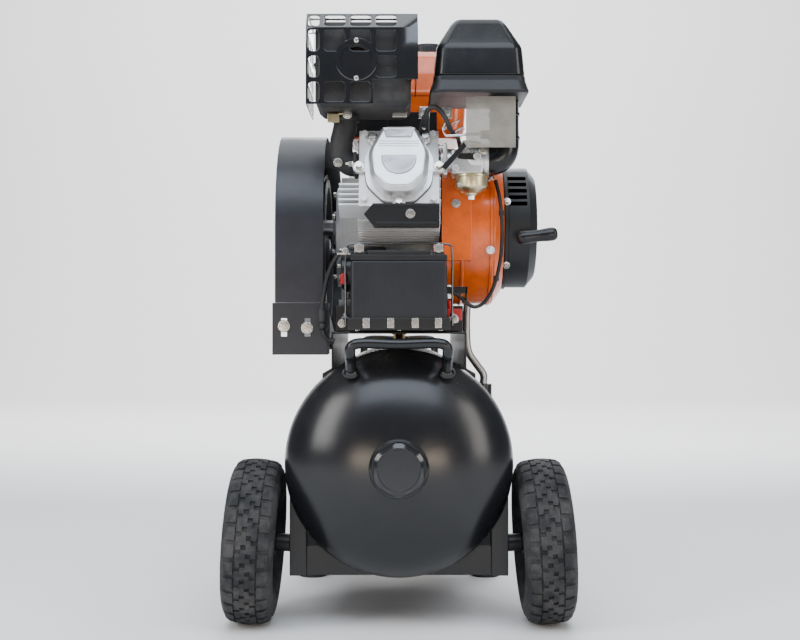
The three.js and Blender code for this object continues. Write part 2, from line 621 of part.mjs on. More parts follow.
function cageWindows() {
  const { left, front, back, low, top } = CAGE;
  const columns = [left + BAR, -113, -75, -37.5, 0];
  const rows = [low + BAR, 198, 236, 274];
  const windows = [];
  for (let i = 0; i < columns.length - 1; i++) {
    const [x0, x1] = [columns[i] + (i ? BAR / 2 : 0), columns[i + 1] - BAR / 2];
    for (let j = 0; j < rows.length - 1; j++) {
      const [z0, z1] = [rows[j] + BAR / 2, rows[j + 1] - BAR / 2];
      const behindRing = i > 0 && i < 3 && j === 1;
      const inCorner = i === 3 && j === 0;
      if (!behindRing && !inCorner) windows.push(block(x0, x1, front - 5, front + 5, z0, z1));
    }
    windows.push(block(x0, x1, front + 30, back + 20, top - 8, top + 5));
  }
  for (let j = 0; j < rows.length - 1; j++) {
    const [z0, z1] = [rows[j] + BAR / 2, rows[j + 1] - BAR / 2];
    windows.push(block(left - 5, left + 5, front + 20, front + 75, z0, z1));
    windows.push(block(left - 5, left + 5, front + 82, back - 8, z0, z1));
  }
  return windows;
}

add(engine, "exhaust_pipe", exhaustPipe(), HOT_BLACK);
add(engine, "muffler", muffler(), HOT_BLACK);
add(engine, "muffler_guard", mufflerGuard(), BLACK_PAINT);

// ---- Air cleaner, carburettor and intake ----
const CLEANER = { left: 52, right: 187, front: -226, back: -88, low: 182, seam: 207.5, top: 298.5 };
const CARB = { left: 73, right: 136, front: -184, back: -136, axis: -160, low: 67, top: 114 };

function airCleanerBase() {
  const { left, right, front, back, low, seam } = CLEANER;
  const levels = [[low, 0], [low + 2, -0.5], [seam - 8, 5], [seam, 5]];
  return cover(left - 6, right + 5, front - 6, back + 6, levels, 16);
}

function airCleanerCover() {
  const { left, right, front, back, seam, top } = CLEANER;
  const levels = [[seam + GAP, 0], [top - 46, 4], [top - 38, 8], [top - 8, 26], [top, 32]];
  return cover(left, right, front, back, levels, 18, 0.6);
}

function intakeDuct() {
  const centre = [CARB.right + 24, CARB.axis];
  const drop = rod("z", 23, PORT_Z + 6, CLEANER.low - GAP, centre, 14);
  const corner = new THREE.SphereGeometry(23, 14, 8).translate(centre[0], centre[1], PORT_Z + 6);
  const inlet = rod("x", 19, CARB.right + GAP, centre[0], [centre[1], PORT_Z + 6], 14);
  return join(drop, corner, inlet);
}

function intakeShield() {
  const outside = [[100, -200], [100, -208], [116, -214], [173, -214]];
  const inside = [[173, -212], [116.6, -212], [102, -206.6], [102, -200]];
  return plate("z", [...outside, ...inside], PORT_Z + 19, CLEANER.low - 3);
}

function carburettor() {
  const { left, right, front, back, axis, low, top } = CARB;
  const throat = rod("x", 18, left - 10 + GAP, right, [axis, PORT_Z + 6], 18);
  const body = block(left + 6, right - 8, front + 4, back, low, top - 8);
  const tower = rod("z", 9, top - 10, top + 4, [102, axis], 12);
  const cup = [[0, 1], [25, 1], [25, -18], [20, -26], [9, -31], [9, -39], [0, -39]];
  const bowl = turned("z", cup.map(([r, h]) => [r, low + h]), [110, axis], 18);
  const idleScrew = rod("y", 5, front - 8, front + 5, [85, low + 8], 10);
  return join(throat, body, tower, bowl, idleScrew);
}

function lever(length, width, thick) {
  const end = arc(length, 0, width / 2, -Math.PI / 2, Math.PI / 2, 5);
  const root = arc(0, 0, width * 0.7, Math.PI / 2, (3 * Math.PI) / 2, 5);
  return plate("z", [...end, ...root], 0, thick);
}

const PLUG_LEAD = [
  [40, -196, 150], [43, -202, 160], [52, -206, 164], [62, -206, 158], [70, -204, 146], [76, -198, 134],
  [82, -186, 127], [87, -172, 126], [90, -156, 125], [93, -136, 120], [96, -114, 111], [98, -96, 101],
];

add(engine, "air_cleaner_base", airCleanerBase(), BLACK_PLASTIC);
add(engine, "air_cleaner_cover", airCleanerCover(), BLACK_PLASTIC);
add(engine, "intake_duct", intakeDuct(), BLACK_PLASTIC);
add(engine, "intake_shield", intakeShield(), SMOKED_PLASTIC);
add(engine, "carburettor", carburettor(), BRIGHT_ALUMINIUM);
add(engine, "plug_lead", cable(PLUG_LEAD, 7, 13), BLACK_PLASTIC);
const throttle = add(engine, "throttle_lever", lever(26, 8, 2.5), ZINC);
throttle.position.set(102, CARB.axis, CARB.top + 4 + GAP);
throttle.rotation.z = Math.PI * 0.2;
const choke = add(engine, "choke_lever", lever(24, 8, 2.5).rotateX(Math.PI / 2), BLACK_PLASTIC);
choke.position.set(116, CARB.front + 4 - GAP, PORT_Z + 10);
choke.rotation.y = Math.PI;

// ---- Fan shroud, recoil starter and fuel tank ----
const SHROUD = { left: 66, shoulder: 150, right: 165 };
const KEY_Z = SHROUD_RADIUS + 6;

function fanShroud() {
  const { left, shoulder, right } = SHROUD;
  const outer = (inset) => [
    [0, left - inset], [SHROUD_RADIUS - inset, left - inset], [SHROUD_RADIUS - inset, shoulder - inset],
    [RECOIL_RADIUS + 8 - inset, right - inset], [0, right - inset],
  ];
  const drum = turned("x", outer(0), [0, 0], 28);
  const room = turned("x", outer(2.5), [0, 0], 28);
  const duct = (inset) => block(left - inset, 112 - inset, -130 + inset, -40, -60 + inset, 92 - inset);
  const mouth = rod("x", RECOIL_RADIUS - 14, right - 20, right + 5, [0, 0], 24);
  const keyBox = block(118, 152, 62, 92, KEY_Z - 42, KEY_Z + 15);
  return cut(join(drum, duct(0), keyBox), room, duct(2.5), mouth);
}

function recoilHousing() {
  const [seat, rimX, face] = [SHROUD.right + GAP, 206, 219];
  const outer = [[RECOIL_RADIUS, seat], [RECOIL_RADIUS, rimX], [82, face], [0, face]];
  const bore = RECOIL_RADIUS - 2.5;
  const inner = [[0, face - 2.5], [80, face - 2.5], [bore, rimX - 2], [bore, seat]];
  const shell = turned("x", [...outer, ...inner], [0, 0], 26);
  const louvres = Array.from({ length: 5 }, (_, i) => {
    const z = 28 + i * 10.7;
    return block(seat + 5, rimX - 4, -RECOIL_RADIUS - 20, -50, z, z + 6.5);
  });
  return cut(shell, ...louvres);
}

const GRIP = { x: 215, y: -RECOIL_RADIUS - 16, z: -21 };

// The pull grip: a waisted bar across the rope.
function pullHandle() {
  const half = 32;
  const end = [[8.5, 8], [11, half - 5], [8, half], [0, half]];
  const sections = [...end.map(([r, h]) => [r, -h]).reverse(), ...end];
  return turned("x", sections, [0, 0], 14).rotateY(THREE.MathUtils.degToRad(-7));
}

function fuelTank() {
  const { left, right, front, back, low, top } = FUEL_TANK;
  const middle = (low + top) / 2 - 2;
  const seam = [[middle - 3, 1], [middle - 2, 0], [middle + 2, 0], [middle + 3, 1]];
  const levels = [[low, 16], [low + 12, 4], ...seam];
  const dome = [[top - 40, 4], [top - 12, 16], [top, 34]];
  const hollow = [[low + 6, 14], [low + 18, 2], [top - 44, 2], [top - 6, 30]];
  const room = cover(left + 6, right - 6, front + 6, back - 6, hollow, 24);
  const shell = cut(cover(left, right, front, back, [...levels, ...dome], 28), room);
  const neck = turned("z", [[20, top - 10], [25, top - 10], [25, top + 8], [20, top + 8]], FILLER, 20);
  return cut(join(shell, neck), rod("z", 20, top - 20, top + 20, FILLER, 20));
}

const FILLER = [50, 96];

function fuelCap() {
  const [seat, neck] = [8 + GAP, 25 + GAP];
  const profile = [[0, seat], [neck, seat], [neck, 1], [32, 1], [32, 20], [27, 23], [0, 23]];
  return turned("z", profile.map(([r, h]) => [r, FUEL_TANK.top + h]), FILLER, 20);
}

add(engine, "fan_shroud", fanShroud(), ORANGE);
add(engine, "recoil_housing", recoilHousing(), BLACK_PLASTIC);
add(engine, "pull_handle", pullHandle(), BLACK_PLASTIC).position.set(GRIP.x, GRIP.y, GRIP.z);
add(engine, "fuel_tank", fuelTank(), ORANGE);
add(engine, "fuel_cap", fuelCap(), BLACK_PLASTIC);
const keyShape = join(rod("y", 4, -10, 0, [0, 0], 10), block(-2, 2, -26, -9, -11, 11));
const key = add(engine, "start_key", keyShape, ZINC);
key.position.set(135, 62 - GAP, KEY_Z);

// ---- Turning parts of the engine ----
const PULLEY = { left: BELT_PLANE - BELT_WIDTH / 2 - 3, right: BELT_PLANE + BELT_WIDTH / 2 + 3 };

function crankshaft() {
  const shaft = rod("x", CRANK_RADIUS, PULLEY.left - 3, SHROUD.left + 44, [0, 0], 16);
  const cheeks = [-30, 14].map((x) => rod("x", 40, x, x + 14, [0, 0], 14));
  return join(shaft, ...cheeks);
}

function coolingFan() {
  const bore = CRANK_RADIUS + GAP;
  const profile = [[bore, 72], [24, 72], [96, 78], [96, 92], [70, 88], [24, 86], [bore, 86]];
  const disc = turned("x", profile, [0, 0], 18);
  const blades = Array.from({ length: 6 }, (_, i) => {
    return block(82, 106, -2, 2, 58, 94).rotateX((i * Math.PI) / 3);
  });
  return join(disc, ...blades);
}

function pulley(radius, bore, sides) {
  const { left, right } = PULLEY;
  return turned("x", [[bore, left], [radius, left], [radius, right], [bore, right]], [0, 0], sides);
}

add(engine, "crankshaft", crankshaft(), STEEL);
add(engine, "cooling_fan", coolingFan(), ALUMINIUM);
add(engine, "drive_pulley", pulley(PULLEY_RADIUS, CRANK_RADIUS + GAP, 32), CAST_IRON);

// ---- Pump, in a frame at the middle of its shaft ----
const pump = place(group, 0, PUMP_Y, PUMP_Z);
const PUMP_BASE = -PUMP_SHAFT_HEIGHT + GAP;
const PUMP_CASE = { left: -78, right: 70, half: 68, top: 62 };

function pumpCrankcase() {
  const { left, right, half, top } = PUMP_CASE;
  const section = [[-half, PUMP_BASE], [half, PUMP_BASE], [half, 20], [40, top], [-40, top], [-half, 20]];
  const foot = block(left - 6, right + 6, -half - 12, half + 12, PUMP_BASE, PUMP_BASE + 14);
  const inner = section.map(([y, z]) => [y * 0.86, z * 0.86]);
  const boss = rod("x", 34, left - 22, left + 1, [0, 0], 20);
  const bore = rod("x", PUMP_SHAFT_RADIUS + 1, left - 40, left + 20, [0, 0], 20);
  const sump = plate("x", inner, left + 9, right - 9);
  const decks = [-1, 1].map((side) => rod("z", 33, 0, 120, [0, 0], 20).rotateX(-side * PUMP_BANK));
  return cut(join(plate("x", section, left, right), foot, boss), sump, bore, ...decks);
}

const PUMP_DECK = { from: 75, to: 143, head: 178 };

function pumpCylinder() {
  const { from, to } = PUMP_DECK;
  const barrel = rod("z", 40, from, to, [-4, 0], 14);
  const fins = Array.from({ length: 4 }, (_, i) => {
    const low = from + 10 + i * 14;
    return rod("z", 52, low, low + 5, [-4, 0], 14);
  });
  const bore = rod("z", 32, from - 5, to + 5, [-4, 0], 12);
  return cut(join(barrel, ...fins), bore);
}

function pumpHead() {
  const { to, head } = PUMP_DECK;
  const body = block(-50, 42, -44, 44, to + GAP, head - 12);
  const fins = Array.from({ length: 6 }, (_, i) => block(-50, 42, -42 + i * 16, -38 + i * 16, to + 8, head));
  const can = [[0, -92], [20, -92], [26, -86], [26, -60], [10, -56], [10, -49], [0, -49]];
  const filter = turned("x", can, [0, to + 18], 18);
  return join(body, ...fins, filter);
}

function bank(side, name) {
  const leaning = place(pump, 0, 0, 0);
  leaning.rotation.x = -side * PUMP_BANK;
  add(leaning, `pump_cylinder_${name}`, pumpCylinder(), CAST_IRON);
  add(leaning, `pump_head_${name}`, pumpHead(), ALUMINIUM);
}
bank(-1, "front");
bank(1, "rear");

// Five-spoked flywheel and its shaft in one.
function pumpFlywheel() {
  const { left, right } = PULLEY;
  const r = FLYWHEEL_RADIUS;
  const ring = turned("x", [[r - 16, left], [r, left], [r, right], [r - 16, right]], [0, 0], 36);
  const hub = rod("x", 34, left, right, [0, 0], 14);
  const shaft = rod("x", PUMP_SHAFT_RADIUS, left - 4, PUMP_CASE.right - 14, [0, 0], 16);
  const spokes = Array.from({ length: 5 }, (_, i) => {
    return block(left + 8, right - 8, -11, 11, 20, r - 10).rotateX((i * 2 * Math.PI) / 5);
  });
  return join(ring, hub, shaft, ...spokes);
}

add(pump, "pump_crankcase", pumpCrankcase(), CAST_IRON);
add(pump, "pump_flywheel", pumpFlywheel(), CAST_IRON);

// ---- Belt and guard ----
// The loop round two wheels at (y, z) centres, as an outline.
function loop(small, large, extra) {
  const [dy, dz] = [large.y - small.y, large.z - small.z];
  const between = Math.hypot(dy, dz);
  const along = Math.atan2(dz, dy);
  const lean = Math.acos((small.r - large.r) / between);
  const back = arc(large.y, large.z, large.r + extra, along - lean, along + lean, 24);
  const front = arc(small.y, small.z, small.r + extra, along + lean, along + 2 * Math.PI - lean, 12);
  return [...back, ...front];
}

function driveBelt() {
  const small = { y: CRANK_Y, z: CRANK_Z, r: PULLEY_RADIUS + GAP };
  const play = 1.002; // a share of the radius, as the chords of a larger wheel stand further out
  const large = { y: PUMP_Y, z: PUMP_Z, r: FLYWHEEL_RADIUS * play };
  const [from, to] = [BELT_PLANE - BELT_WIDTH / 2, BELT_PLANE + BELT_WIDTH / 2];
  const inside = plate("x", loop(small, large, 0.2), from - 5, to + 5);
  return cut(plate("x", loop(small, large, BELT_THICK), from, to), inside);
}
add(group, "drive_belt", driveBelt(), RUBBER);

const GUARD_FLOOR = { front: RAIL_TOP + 4, back: PUMP_Z - FLYWHEEL_RADIUS - GUARD_CLEAR };

// Side outline of the guard: upright in front, arched over both wheels, sloping floor.
function guardOutline(inset) {
  const nose = arc(CRANK_Y, CRANK_Z, GUARD_NOSE - inset, Math.PI, Math.PI / 2, 8);
  const tailRadius = FLYWHEEL_RADIUS + GUARD_CLEAR - inset;
  const tail = arc(PUMP_Y, PUMP_Z, tailRadius, Math.PI / 2, -Math.PI / 2, 14);
  const front = CRANK_Y - GUARD_NOSE + inset;
  const floor = [[CRANK_Y - 40, GUARD_FLOOR.front + inset], [front, GUARD_FLOOR.front + inset]];
  return [...nose, ...tail, ...floor];
}

function ventSlots(y, z, radius, count, length) {
  return Array.from({ length: count }, (_, i) => {
    const slot = block(GUARD_LEFT - 5, GUARD_LEFT + 5, -4, 4, radius, radius + length);
    return slot.rotateX((i * 2 * Math.PI) / count).translate(0, y, z);
  });
}

// The guard with its rear foot, which bolts to the side of the platform.
function beltGuard() {
  const shell = plate("x", guardOutline(0), GUARD_LEFT, GUARD_RIGHT);
  const room = plate("x", guardOutline(2), GUARD_LEFT + 2, GUARD_RIGHT + 5);
  const slots = [...ventSlots(CRANK_Y, CRANK_Z, 50, 8, 60), ...ventSlots(PUMP_Y, PUMP_Z, 55, 10, 80)];
  const [y0, y1, z] = [PUMP_Y - 30, PUMP_Y + 30, GUARD_FLOOR.back];
  const foot = block(GUARD_LEFT + 20, BRACKET.right, y0, y1, z - SHEET, z + 1);
  const ear = block(BRACKET.right - SHEET, BRACKET.right, y0, y1, z - SHEET, z + 20);
  return join(cut(shell, room, ...slots), foot, ear);
}

const BRACKET = { right: -PLATFORM_WIDTH / 2 - 5, low: PLATFORM_TOP - 35, y: CRANK_Y - GUARD_NOSE };

function guardBracketFront() {
  const { right, low, y } = BRACKET;
  const left = GUARD_LEFT - 4;
  const top = GUARD_FLOOR.front - GAP;
  const slots = [-176, -140].map((x) => block(x - 4.5, x + 4.5, y - 5, y + 5, low + 28, low + 56));
  const face = cut(block(left, right, y, y + SHEET, low, top), ...slots);
  const flange = block(left, right, y + 1, y + 32, low, low + SHEET);
  const ear = block(right - 3, right, y + 1, y + 60, low, top);
  return join(face, flange, ear);
}

add(group, "belt_guard", beltGuard(), GUARD_PAINT);
add(group, "guard_bracket_front", guardBracketFront(), GUARD_PAINT);

// ---- Air side ----
function dischargePipe() {
  const { x, y } = CHECK_VALVE;
  const seat = tankTopAt(x) + 18 + GAP;
  const headZ = PUMP_Z + 128;
  const across = [[44, 122, headZ], [70, 118, headZ + 2], [100, 96, headZ - 6], [120, 60, headZ - 40]];
  const top = PLATFORM_TOP;
  const down = [[124, 34, headZ - 100], [122, 24, top + 63], [120, 21, top + 3], [124, y, top - 37]];
  const end = [[138, y, seat + 34], [x, y, seat + 16], [x, y, seat]];
  return tube([...across, ...down, ...end], 7, 22, 8);
}

const MANIFOLD = { y: RISER_Y, low: PLATFORM_TOP + 1, half: 62, size: 26 };

function airManifold() {
  const { y, low, half, size } = MANIFOLD;
  const headTop = TANK_HEIGHT + TANK_RADIUS * Math.sqrt(1 - ((RISER_Y - KNUCKLE) / TANK_HEAD) ** 2);
  const bar = block(-half, half, y - size / 2, y + size / 2, low, low + size);
  const riser = rod("z", RISER_RADIUS, headTop + 10 + GAP, low + 1, [0, y], 10);
  const dial = [[0, y], [5, y], [5, y + 22], [25, y + 22], [25, y + 34], [0, y + 34]];
  const gauge = turned("y", dial, [0, low + size / 2], 18);
  const outlet = rod("x", 14, -half - 40, -half + 1, [y, low + size / 2], 14);
  const regulator = rod("x", 14, half - 1, half + 26, [y, low + size / 2], 16);
  const safety = rod("z", 8, low + size - 1, low + size + 26, [34, y], 12);
  return join(bar, riser, gauge, outlet, regulator, safety);
}

add(group, "discharge_pipe", dischargePipe(), BRASS);
add(group, "air_manifold", airManifold(), BRASS);
const knobX = MANIFOLD.half + 26 + GAP;
const knobZ = MANIFOLD.low + MANIFOLD.size / 2;
const knobShape = turned("x", [[0, 0], [15, 0], [18, 4], [18, 20], [15, 24], [0, 24]], [0, 0], 18);
add(group, "regulator_knob", knobShape, BLACK_PLASTIC).position.set(knobX, MANIFOLD.y, knobZ);
const outletLever = add(group, "outlet_lever", lever(50, 14, 4), RED_PLASTIC);
outletLever.position.set(-MANIFOLD.half - 20, MANIFOLD.y, knobZ + 14 + GAP);
const ring = new THREE.TorusGeometry(9, 1.6, 6, 14).rotateX(Math.PI / 2);
const ringZ = MANIFOLD.low + MANIFOLD.size + 26 + GAP + 11;
add(group, "safety_ring", ring, STEEL).position.set(34, MANIFOLD.y, ringZ);
const drain = join(rod("z", 7, -20, -GAP, [0, 0], 12), block(-16, 16, -3, 3, -26, -14));
add(group, "drain_tap", drain, BRASS).position.set(0, DRAIN_Y, TANK_HEIGHT - TANK_RADIUS - 10);

export default group;
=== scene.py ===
import json
import math

import bmesh
import bpy
from bpy.props import FloatProperty, FloatVectorProperty, IntProperty, PointerProperty
from mathutils import Matrix, Vector


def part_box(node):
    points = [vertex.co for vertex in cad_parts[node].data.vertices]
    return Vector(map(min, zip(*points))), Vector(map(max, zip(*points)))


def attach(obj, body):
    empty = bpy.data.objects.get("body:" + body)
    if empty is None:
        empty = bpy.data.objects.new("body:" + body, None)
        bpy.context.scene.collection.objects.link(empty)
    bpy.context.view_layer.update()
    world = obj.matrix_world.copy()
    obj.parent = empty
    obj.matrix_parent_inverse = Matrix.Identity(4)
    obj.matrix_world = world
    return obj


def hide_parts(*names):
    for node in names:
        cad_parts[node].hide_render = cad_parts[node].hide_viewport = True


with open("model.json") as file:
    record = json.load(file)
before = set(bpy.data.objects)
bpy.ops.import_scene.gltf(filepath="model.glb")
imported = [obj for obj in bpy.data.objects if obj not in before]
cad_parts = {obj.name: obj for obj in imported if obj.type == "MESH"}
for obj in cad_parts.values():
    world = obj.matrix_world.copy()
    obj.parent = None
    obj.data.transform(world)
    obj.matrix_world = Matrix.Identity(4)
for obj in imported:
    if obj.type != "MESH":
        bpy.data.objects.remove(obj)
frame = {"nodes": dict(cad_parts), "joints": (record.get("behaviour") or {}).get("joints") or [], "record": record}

bl_info = {
    "name": "Wheeled Air Compressor",
    "version": (1, 0, 0),
    "blender": (4, 5, 0),
    "location": "3D View > Sidebar > Compressor",
    "description": "Builds an engine-driven air compressor on a wheeled tank",
    "category": "Mesh",
}

# Meshes are worked in millimetres and scaled to metres when a piece is finished.
MM = 0.001
BODIES = frame["record"]["behaviour"]["bodies"]
BODY_OF = {node: body for body, nodes in BODIES.items() for node in nodes}
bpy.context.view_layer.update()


def box_of(node):
    """Lowest and highest corner of a node, in millimetres."""
    low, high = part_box(node)
    return low / MM, high / MM


def pivot(joint):
    """A hinge's own point, in millimetres."""
    found = next(j for j in frame["joints"] if j["name"] == joint)
    return Vector(found["pos_m"]) / MM


ENGINE = pivot("engine_spin")
PUMP = pivot("pump_spin")
CYLINDER_TILT = math.radians(22)
PUMP_BANK = math.radians(38)
WHEEL_CAMBER = math.radians(3.4)
TILTED = Matrix.Translation(ENGINE) @ Matrix.Rotation(-CYLINDER_TILT, 4, "X")
TANK_LOW, TANK_HIGH = box_of("air_tank")
TANK_RADIUS = TANK_HIGH.x
TANK_Z = (box_of("tank_plug_front")[0].z + box_of("tank_plug_front")[1].z) / 2
GAP = 0.3


# ---- Shapes ----

def rod(bm, start, end, radius, end_radius=None, sides=32):
    """A closed cylinder or cone between two points."""
    start, end = Vector(start), Vector(end)
    turn = (end - start).to_track_quat("Z", "Y").to_matrix().to_4x4()
    return bmesh.ops.create_cone(
        bm, cap_ends=True, segments=sides, radius1=radius,
        radius2=radius if end_radius is None else end_radius, depth=(end - start).length,
        matrix=Matrix.Translation((start + end) / 2) @ turn)["verts"]


def block(bm, low, high):
    """A box between two corners."""
    low, high = Vector(low), Vector(high)
    place = Matrix.Translation((low + high) / 2) @ Matrix.Diagonal((high - low).to_4d())
    return bmesh.ops.create_cube(bm, size=1, matrix=place)["verts"]


def faces_of(verts):
    return list({face for vert in verts for face in vert.link_faces})


def edges_of(verts):
    kept = set(verts)
    return [e for e in {e for v in verts for e in v.link_edges} if kept.issuperset(e.verts)]


def close_up(bm, verts):
    """Merges doubles and turns the faces outwards."""
    bmesh.ops.remove_doubles(bm, verts=verts, dist=0.001)
    left = [v for v in verts if v.is_valid]
    bmesh.ops.recalc_face_normals(bm, faces=faces_of(left))
    return left


def lay(bm, verts, axis, centre):
    """Turns a shape made along +Z to another axis, then moves it to a centre."""
    turns = {"x": Matrix.Rotation(math.pi / 2, 4, "Y"), "y": Matrix.Rotation(-math.pi / 2, 4, "X")}
    place = Matrix.Translation(Vector(centre)) @ turns.get(axis, Matrix.Identity(4))
    bmesh.ops.transform(bm, matrix=place, verts=verts)
    return verts


def spun(bm, profile, axis="z", centre=(0, 0, 0), steps=64, closed=False):
    """Turns a profile of (radius, height) points about an axis through a centre."""
    before = set(bm.verts)
    line = [bm.verts.new((radius, 0, height)) for radius, height in profile]
    ends = line[1:] + line[:1] if closed else line[1:]
    edges = [bm.edges.new(pair) for pair in zip(line, ends)]
    bmesh.ops.spin(bm, geom=line + edges, cent=(0, 0, 0), axis=(0, 0, 1),
                   angle=math.tau, steps=steps, use_merge=True)
    made = close_up(bm, [v for v in bm.verts if v not in before])
    return lay(bm, made, axis, centre)


def prism(bm, outline, axis, start, end):
    """Pushes a flat outline along an axis; its points are x: (y, z), y: (x, z), z: (x, y)."""
    def at(u, v, w):
        return {"x": (w, u, v), "y": (u, w, v), "z": (u, v, w)}[axis]
    flat = [bm.verts.new(at(u, v, start)) for u, v in outline]
    made = bmesh.ops.extrude_face_region(bm, geom=[bm.faces.new(flat)])
    moved = [item for item in made["geom"] if isinstance(item, bmesh.types.BMVert)]
    bmesh.ops.translate(bm, verts=moved, vec=at(0, 0, end - start))
    return close_up(bm, flat + moved)


def arc(u, v, radius, start, end, steps):
    """Points on an arc, with its angles in degrees."""
    angles = [math.radians(start + (end - start) * i / steps) for i in range(steps + 1)]
    return [(u + radius * math.cos(a), v + radius * math.sin(a)) for a in angles]


def smooth_line(points, steps):
    """A centripetal line through the points, with some steps between each two."""
    knots = [Vector(p) for p in points]
    knots = [2 * knots[0] - knots[1]] + knots + [2 * knots[-1] - knots[-2]]
    line = []
    for a, b, c, d in zip(knots, knots[1:], knots[2:], knots[3:]):
        t1 = (b - a).length ** 0.5
        t2 = t1 + (c - b).length ** 0.5
        t3 = t2 + (d - c).length ** 0.5
        for i in range(steps):
            t = t1 + (t2 - t1) * i / steps
            ab, bc, cd = a.lerp(b, t / t1), b.lerp(c, (t - t1) / (t2 - t1)), c.lerp(d, (t - t2) / (t3 - t2))
            line.append(ab.lerp(bc, t / t2).lerp(bc.lerp(cd, (t - t1) / (t3 - t1)), (t - t1) / (t2 - t1)))
    return line + [knots[-2]]


def tube(bm, points, radius, steps=6, resolution=4):
    """A round tube with capped ends along a smooth line through the points."""
    route = smooth_line(points, steps)
    curve = bpy.data.curves.new("route", "CURVE")
    curve.dimensions = "3D"
    spline = curve.splines.new("POLY")
    spline.points.add(len(route) - 1)
    for point, place in zip(spline.points, route):
        point.co = (*place, 1)
    curve.bevel_depth, curve.bevel_resolution, curve.use_fill_caps = radius, resolution, True
    holder = bpy.data.objects.new("route", curve)
    mesh = bpy.data.meshes.new_from_object(holder)
    before = set(bm.verts)
    bm.from_mesh(mesh)
    bpy.data.objects.remove(holder)
    bpy.data.curves.remove(curve)
    bpy.data.meshes.remove(mesh)
    return close_up(bm, [v for v in bm.verts if v not in before])


def helix(centre, end, radius, turns, per_turn=14):
    """Points of a coil spring between two points."""
    start, end = Vector(centre), Vector(end)
    turn = (end - start).to_track_quat("Z", "Y")
    count = int(turns * per_turn)
    ring = [Vector((radius * math.cos(math.tau * i / per_turn), radius * math.sin(math.tau * i / per_turn),
                    (end - start).length * i / count)) for i in range(count + 1)]
    return [start + turn @ point for point in ring]


def sharp_edges(edges, degrees=30):
    least = math.radians(degrees)
    return [e for e in edges if len(e.link_faces) == 2 and e.calc_face_angle(0) > least]


def bevel(bm, edges, width, segments=2):
    bmesh.ops.bevel(bm, geom=list(edges), offset=width, offset_type="OFFSET", segments=segments,
                    profile=0.5, affect="EDGES", clamp_overlap=True, material=-1)


def soften(bm, verts, width, segments=2, degrees=30):
    """Rounds the sharp edges among some corners."""
    bevel(bm, sharp_edges(edges_of(verts), degrees), width, segments)


def pad(bm, low, high, width, segments=2):
    """A block between two corners with rounded edges."""
    soften(bm, block(bm, low, high), width, segments)


def rounded_path(points, radius, steps=4):
    """A line with each inner corner replaced by a curve."""
    points = [Vector(p) for p in points]
    path = [points[0]]
    for before, at, after in zip(points, points[1:], points[2:]):
        reach = min(radius, (before - at).length * 0.49, (after - at).length * 0.49)
        start = at + (before - at).normalized() * reach
        end = at + (after - at).normalized() * reach
        for i in range(steps + 1):
            t = i / steps
            path.append(start * (1 - t) ** 2 + at * 2 * t * (1 - t) + end * t ** 2)
    return path + [points[-1]]


def rounded_box(half_x, half_y, radius, steps=7):
    """Outline of a rectangle with round corners about the origin."""
    ring = []
    for k, (sx, sy) in enumerate(((1, 1), (-1, 1), (-1, -1), (1, -1))):
        for i in range(steps + 1):
            a = math.radians(90 * (k + i / steps))
            ring.append((sx * (half_x - radius) + radius * math.cos(a),
                         sy * (half_y - radius) + radius * math.sin(a)))
    return ring


def moulding(bm, low, high, levels, radius, fillet, back_share=1.0):
    """A moulded box whose sides lean in: levels are (height, inset) pairs from the bottom up."""
    middle = (Vector(low) + Vector(high)) / 2
    half = (Vector(high) - Vector(low)) / 2
    lip = fillet * 1.6
    ends = [(levels[0][0], levels[0][1] + lip), *levels, (levels[-1][0], levels[-1][1] + lip)]
    rings = []
    for height, inset in rounded_path(ends, fillet):
        front, back = half.y - inset, half.y - inset * back_share
        corner = max(radius - inset * 0.25, 3)
        outline = rounded_box(half.x - inset, (front + back) / 2, corner)
        rings.append([bm.verts.new((middle.x + x, middle.y + y + (back - front) / 2, height)) for x, y in outline])
    for under, over in zip(rings, rings[1:]):
        for i in range(len(under)):
            j = (i + 1) % len(under)
            bm.faces.new((under[i], under[j], over[j], over[i]))
    bm.faces.new(list(reversed(rings[0])))
    bm.faces.new(rings[-1])
    return close_up(bm, [v for ring in rings for v in ring])


def hex_bolt(bm, seat, toward, across=10, head=6, flange=True, stud=0):
    """A hexagon head on its flange or washer, with a stud end through it if it is a nut."""
    seat, toward = Vector(seat), Vector(toward).normalized()
    lift = 1.6 if flange else 0
    if flange:
        ring = rod(bm, seat, seat + toward * lift, across * 0.82, across * 0.74, 24)
        soften(bm, ring, 0.3, 1)
    hexagon = rod(bm, seat + toward * lift * 0.9, seat + toward * (lift + head), across * 0.56, None, 6)
    soften(bm, hexagon, across * 0.05, 2)
    if stud:
        rod(bm, seat, seat + toward * (lift + head + stud), across * 0.3, across * 0.26, 16)


def cad_copy(node, width=0.8, segments=2, degrees=32):
    """A node's own solid with its sharp edges rounded."""
    bm = bmesh.new()
    bm.from_mesh(frame["nodes"][node].data)
    bmesh.ops.scale(bm, vec=(1 / MM,) * 3, verts=bm.verts)
    bmesh.ops.remove_doubles(bm, verts=bm.verts, dist=0.01)
    bmesh.ops.dissolve_limit(bm, angle_limit=math.radians(1), verts=bm.verts, edges=bm.edges)
    if width:
        bevel(bm, sharp_edges(bm.edges, degrees), width, segments)
    return bm


def piece(name, bm, finish, like, stands_for=(), smooth=38):
    """Finishes a mesh as a piece that rides with a node's body and takes the finish given to it."""
    bmesh.ops.scale(bm, vec=(MM,) * 3, verts=bm.verts)
    mesh = bpy.data.meshes.new(name)
    bm.to_mesh(mesh)
    bm.free()
    mesh.shade_smooth()
    mesh.set_sharp_from_angle(angle=math.radians(smooth))
    mesh.materials.append(FINISHES[finish])
    made = bpy.data.objects.new(name, mesh)
    bpy.context.scene.collection.objects.link(made)
    made.modifiers.new("even_faces", "WEIGHTED_NORMAL").keep_sharp = True
    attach(made, BODY_OF[like])
    if stands_for:
        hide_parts(*stands_for)
    return made


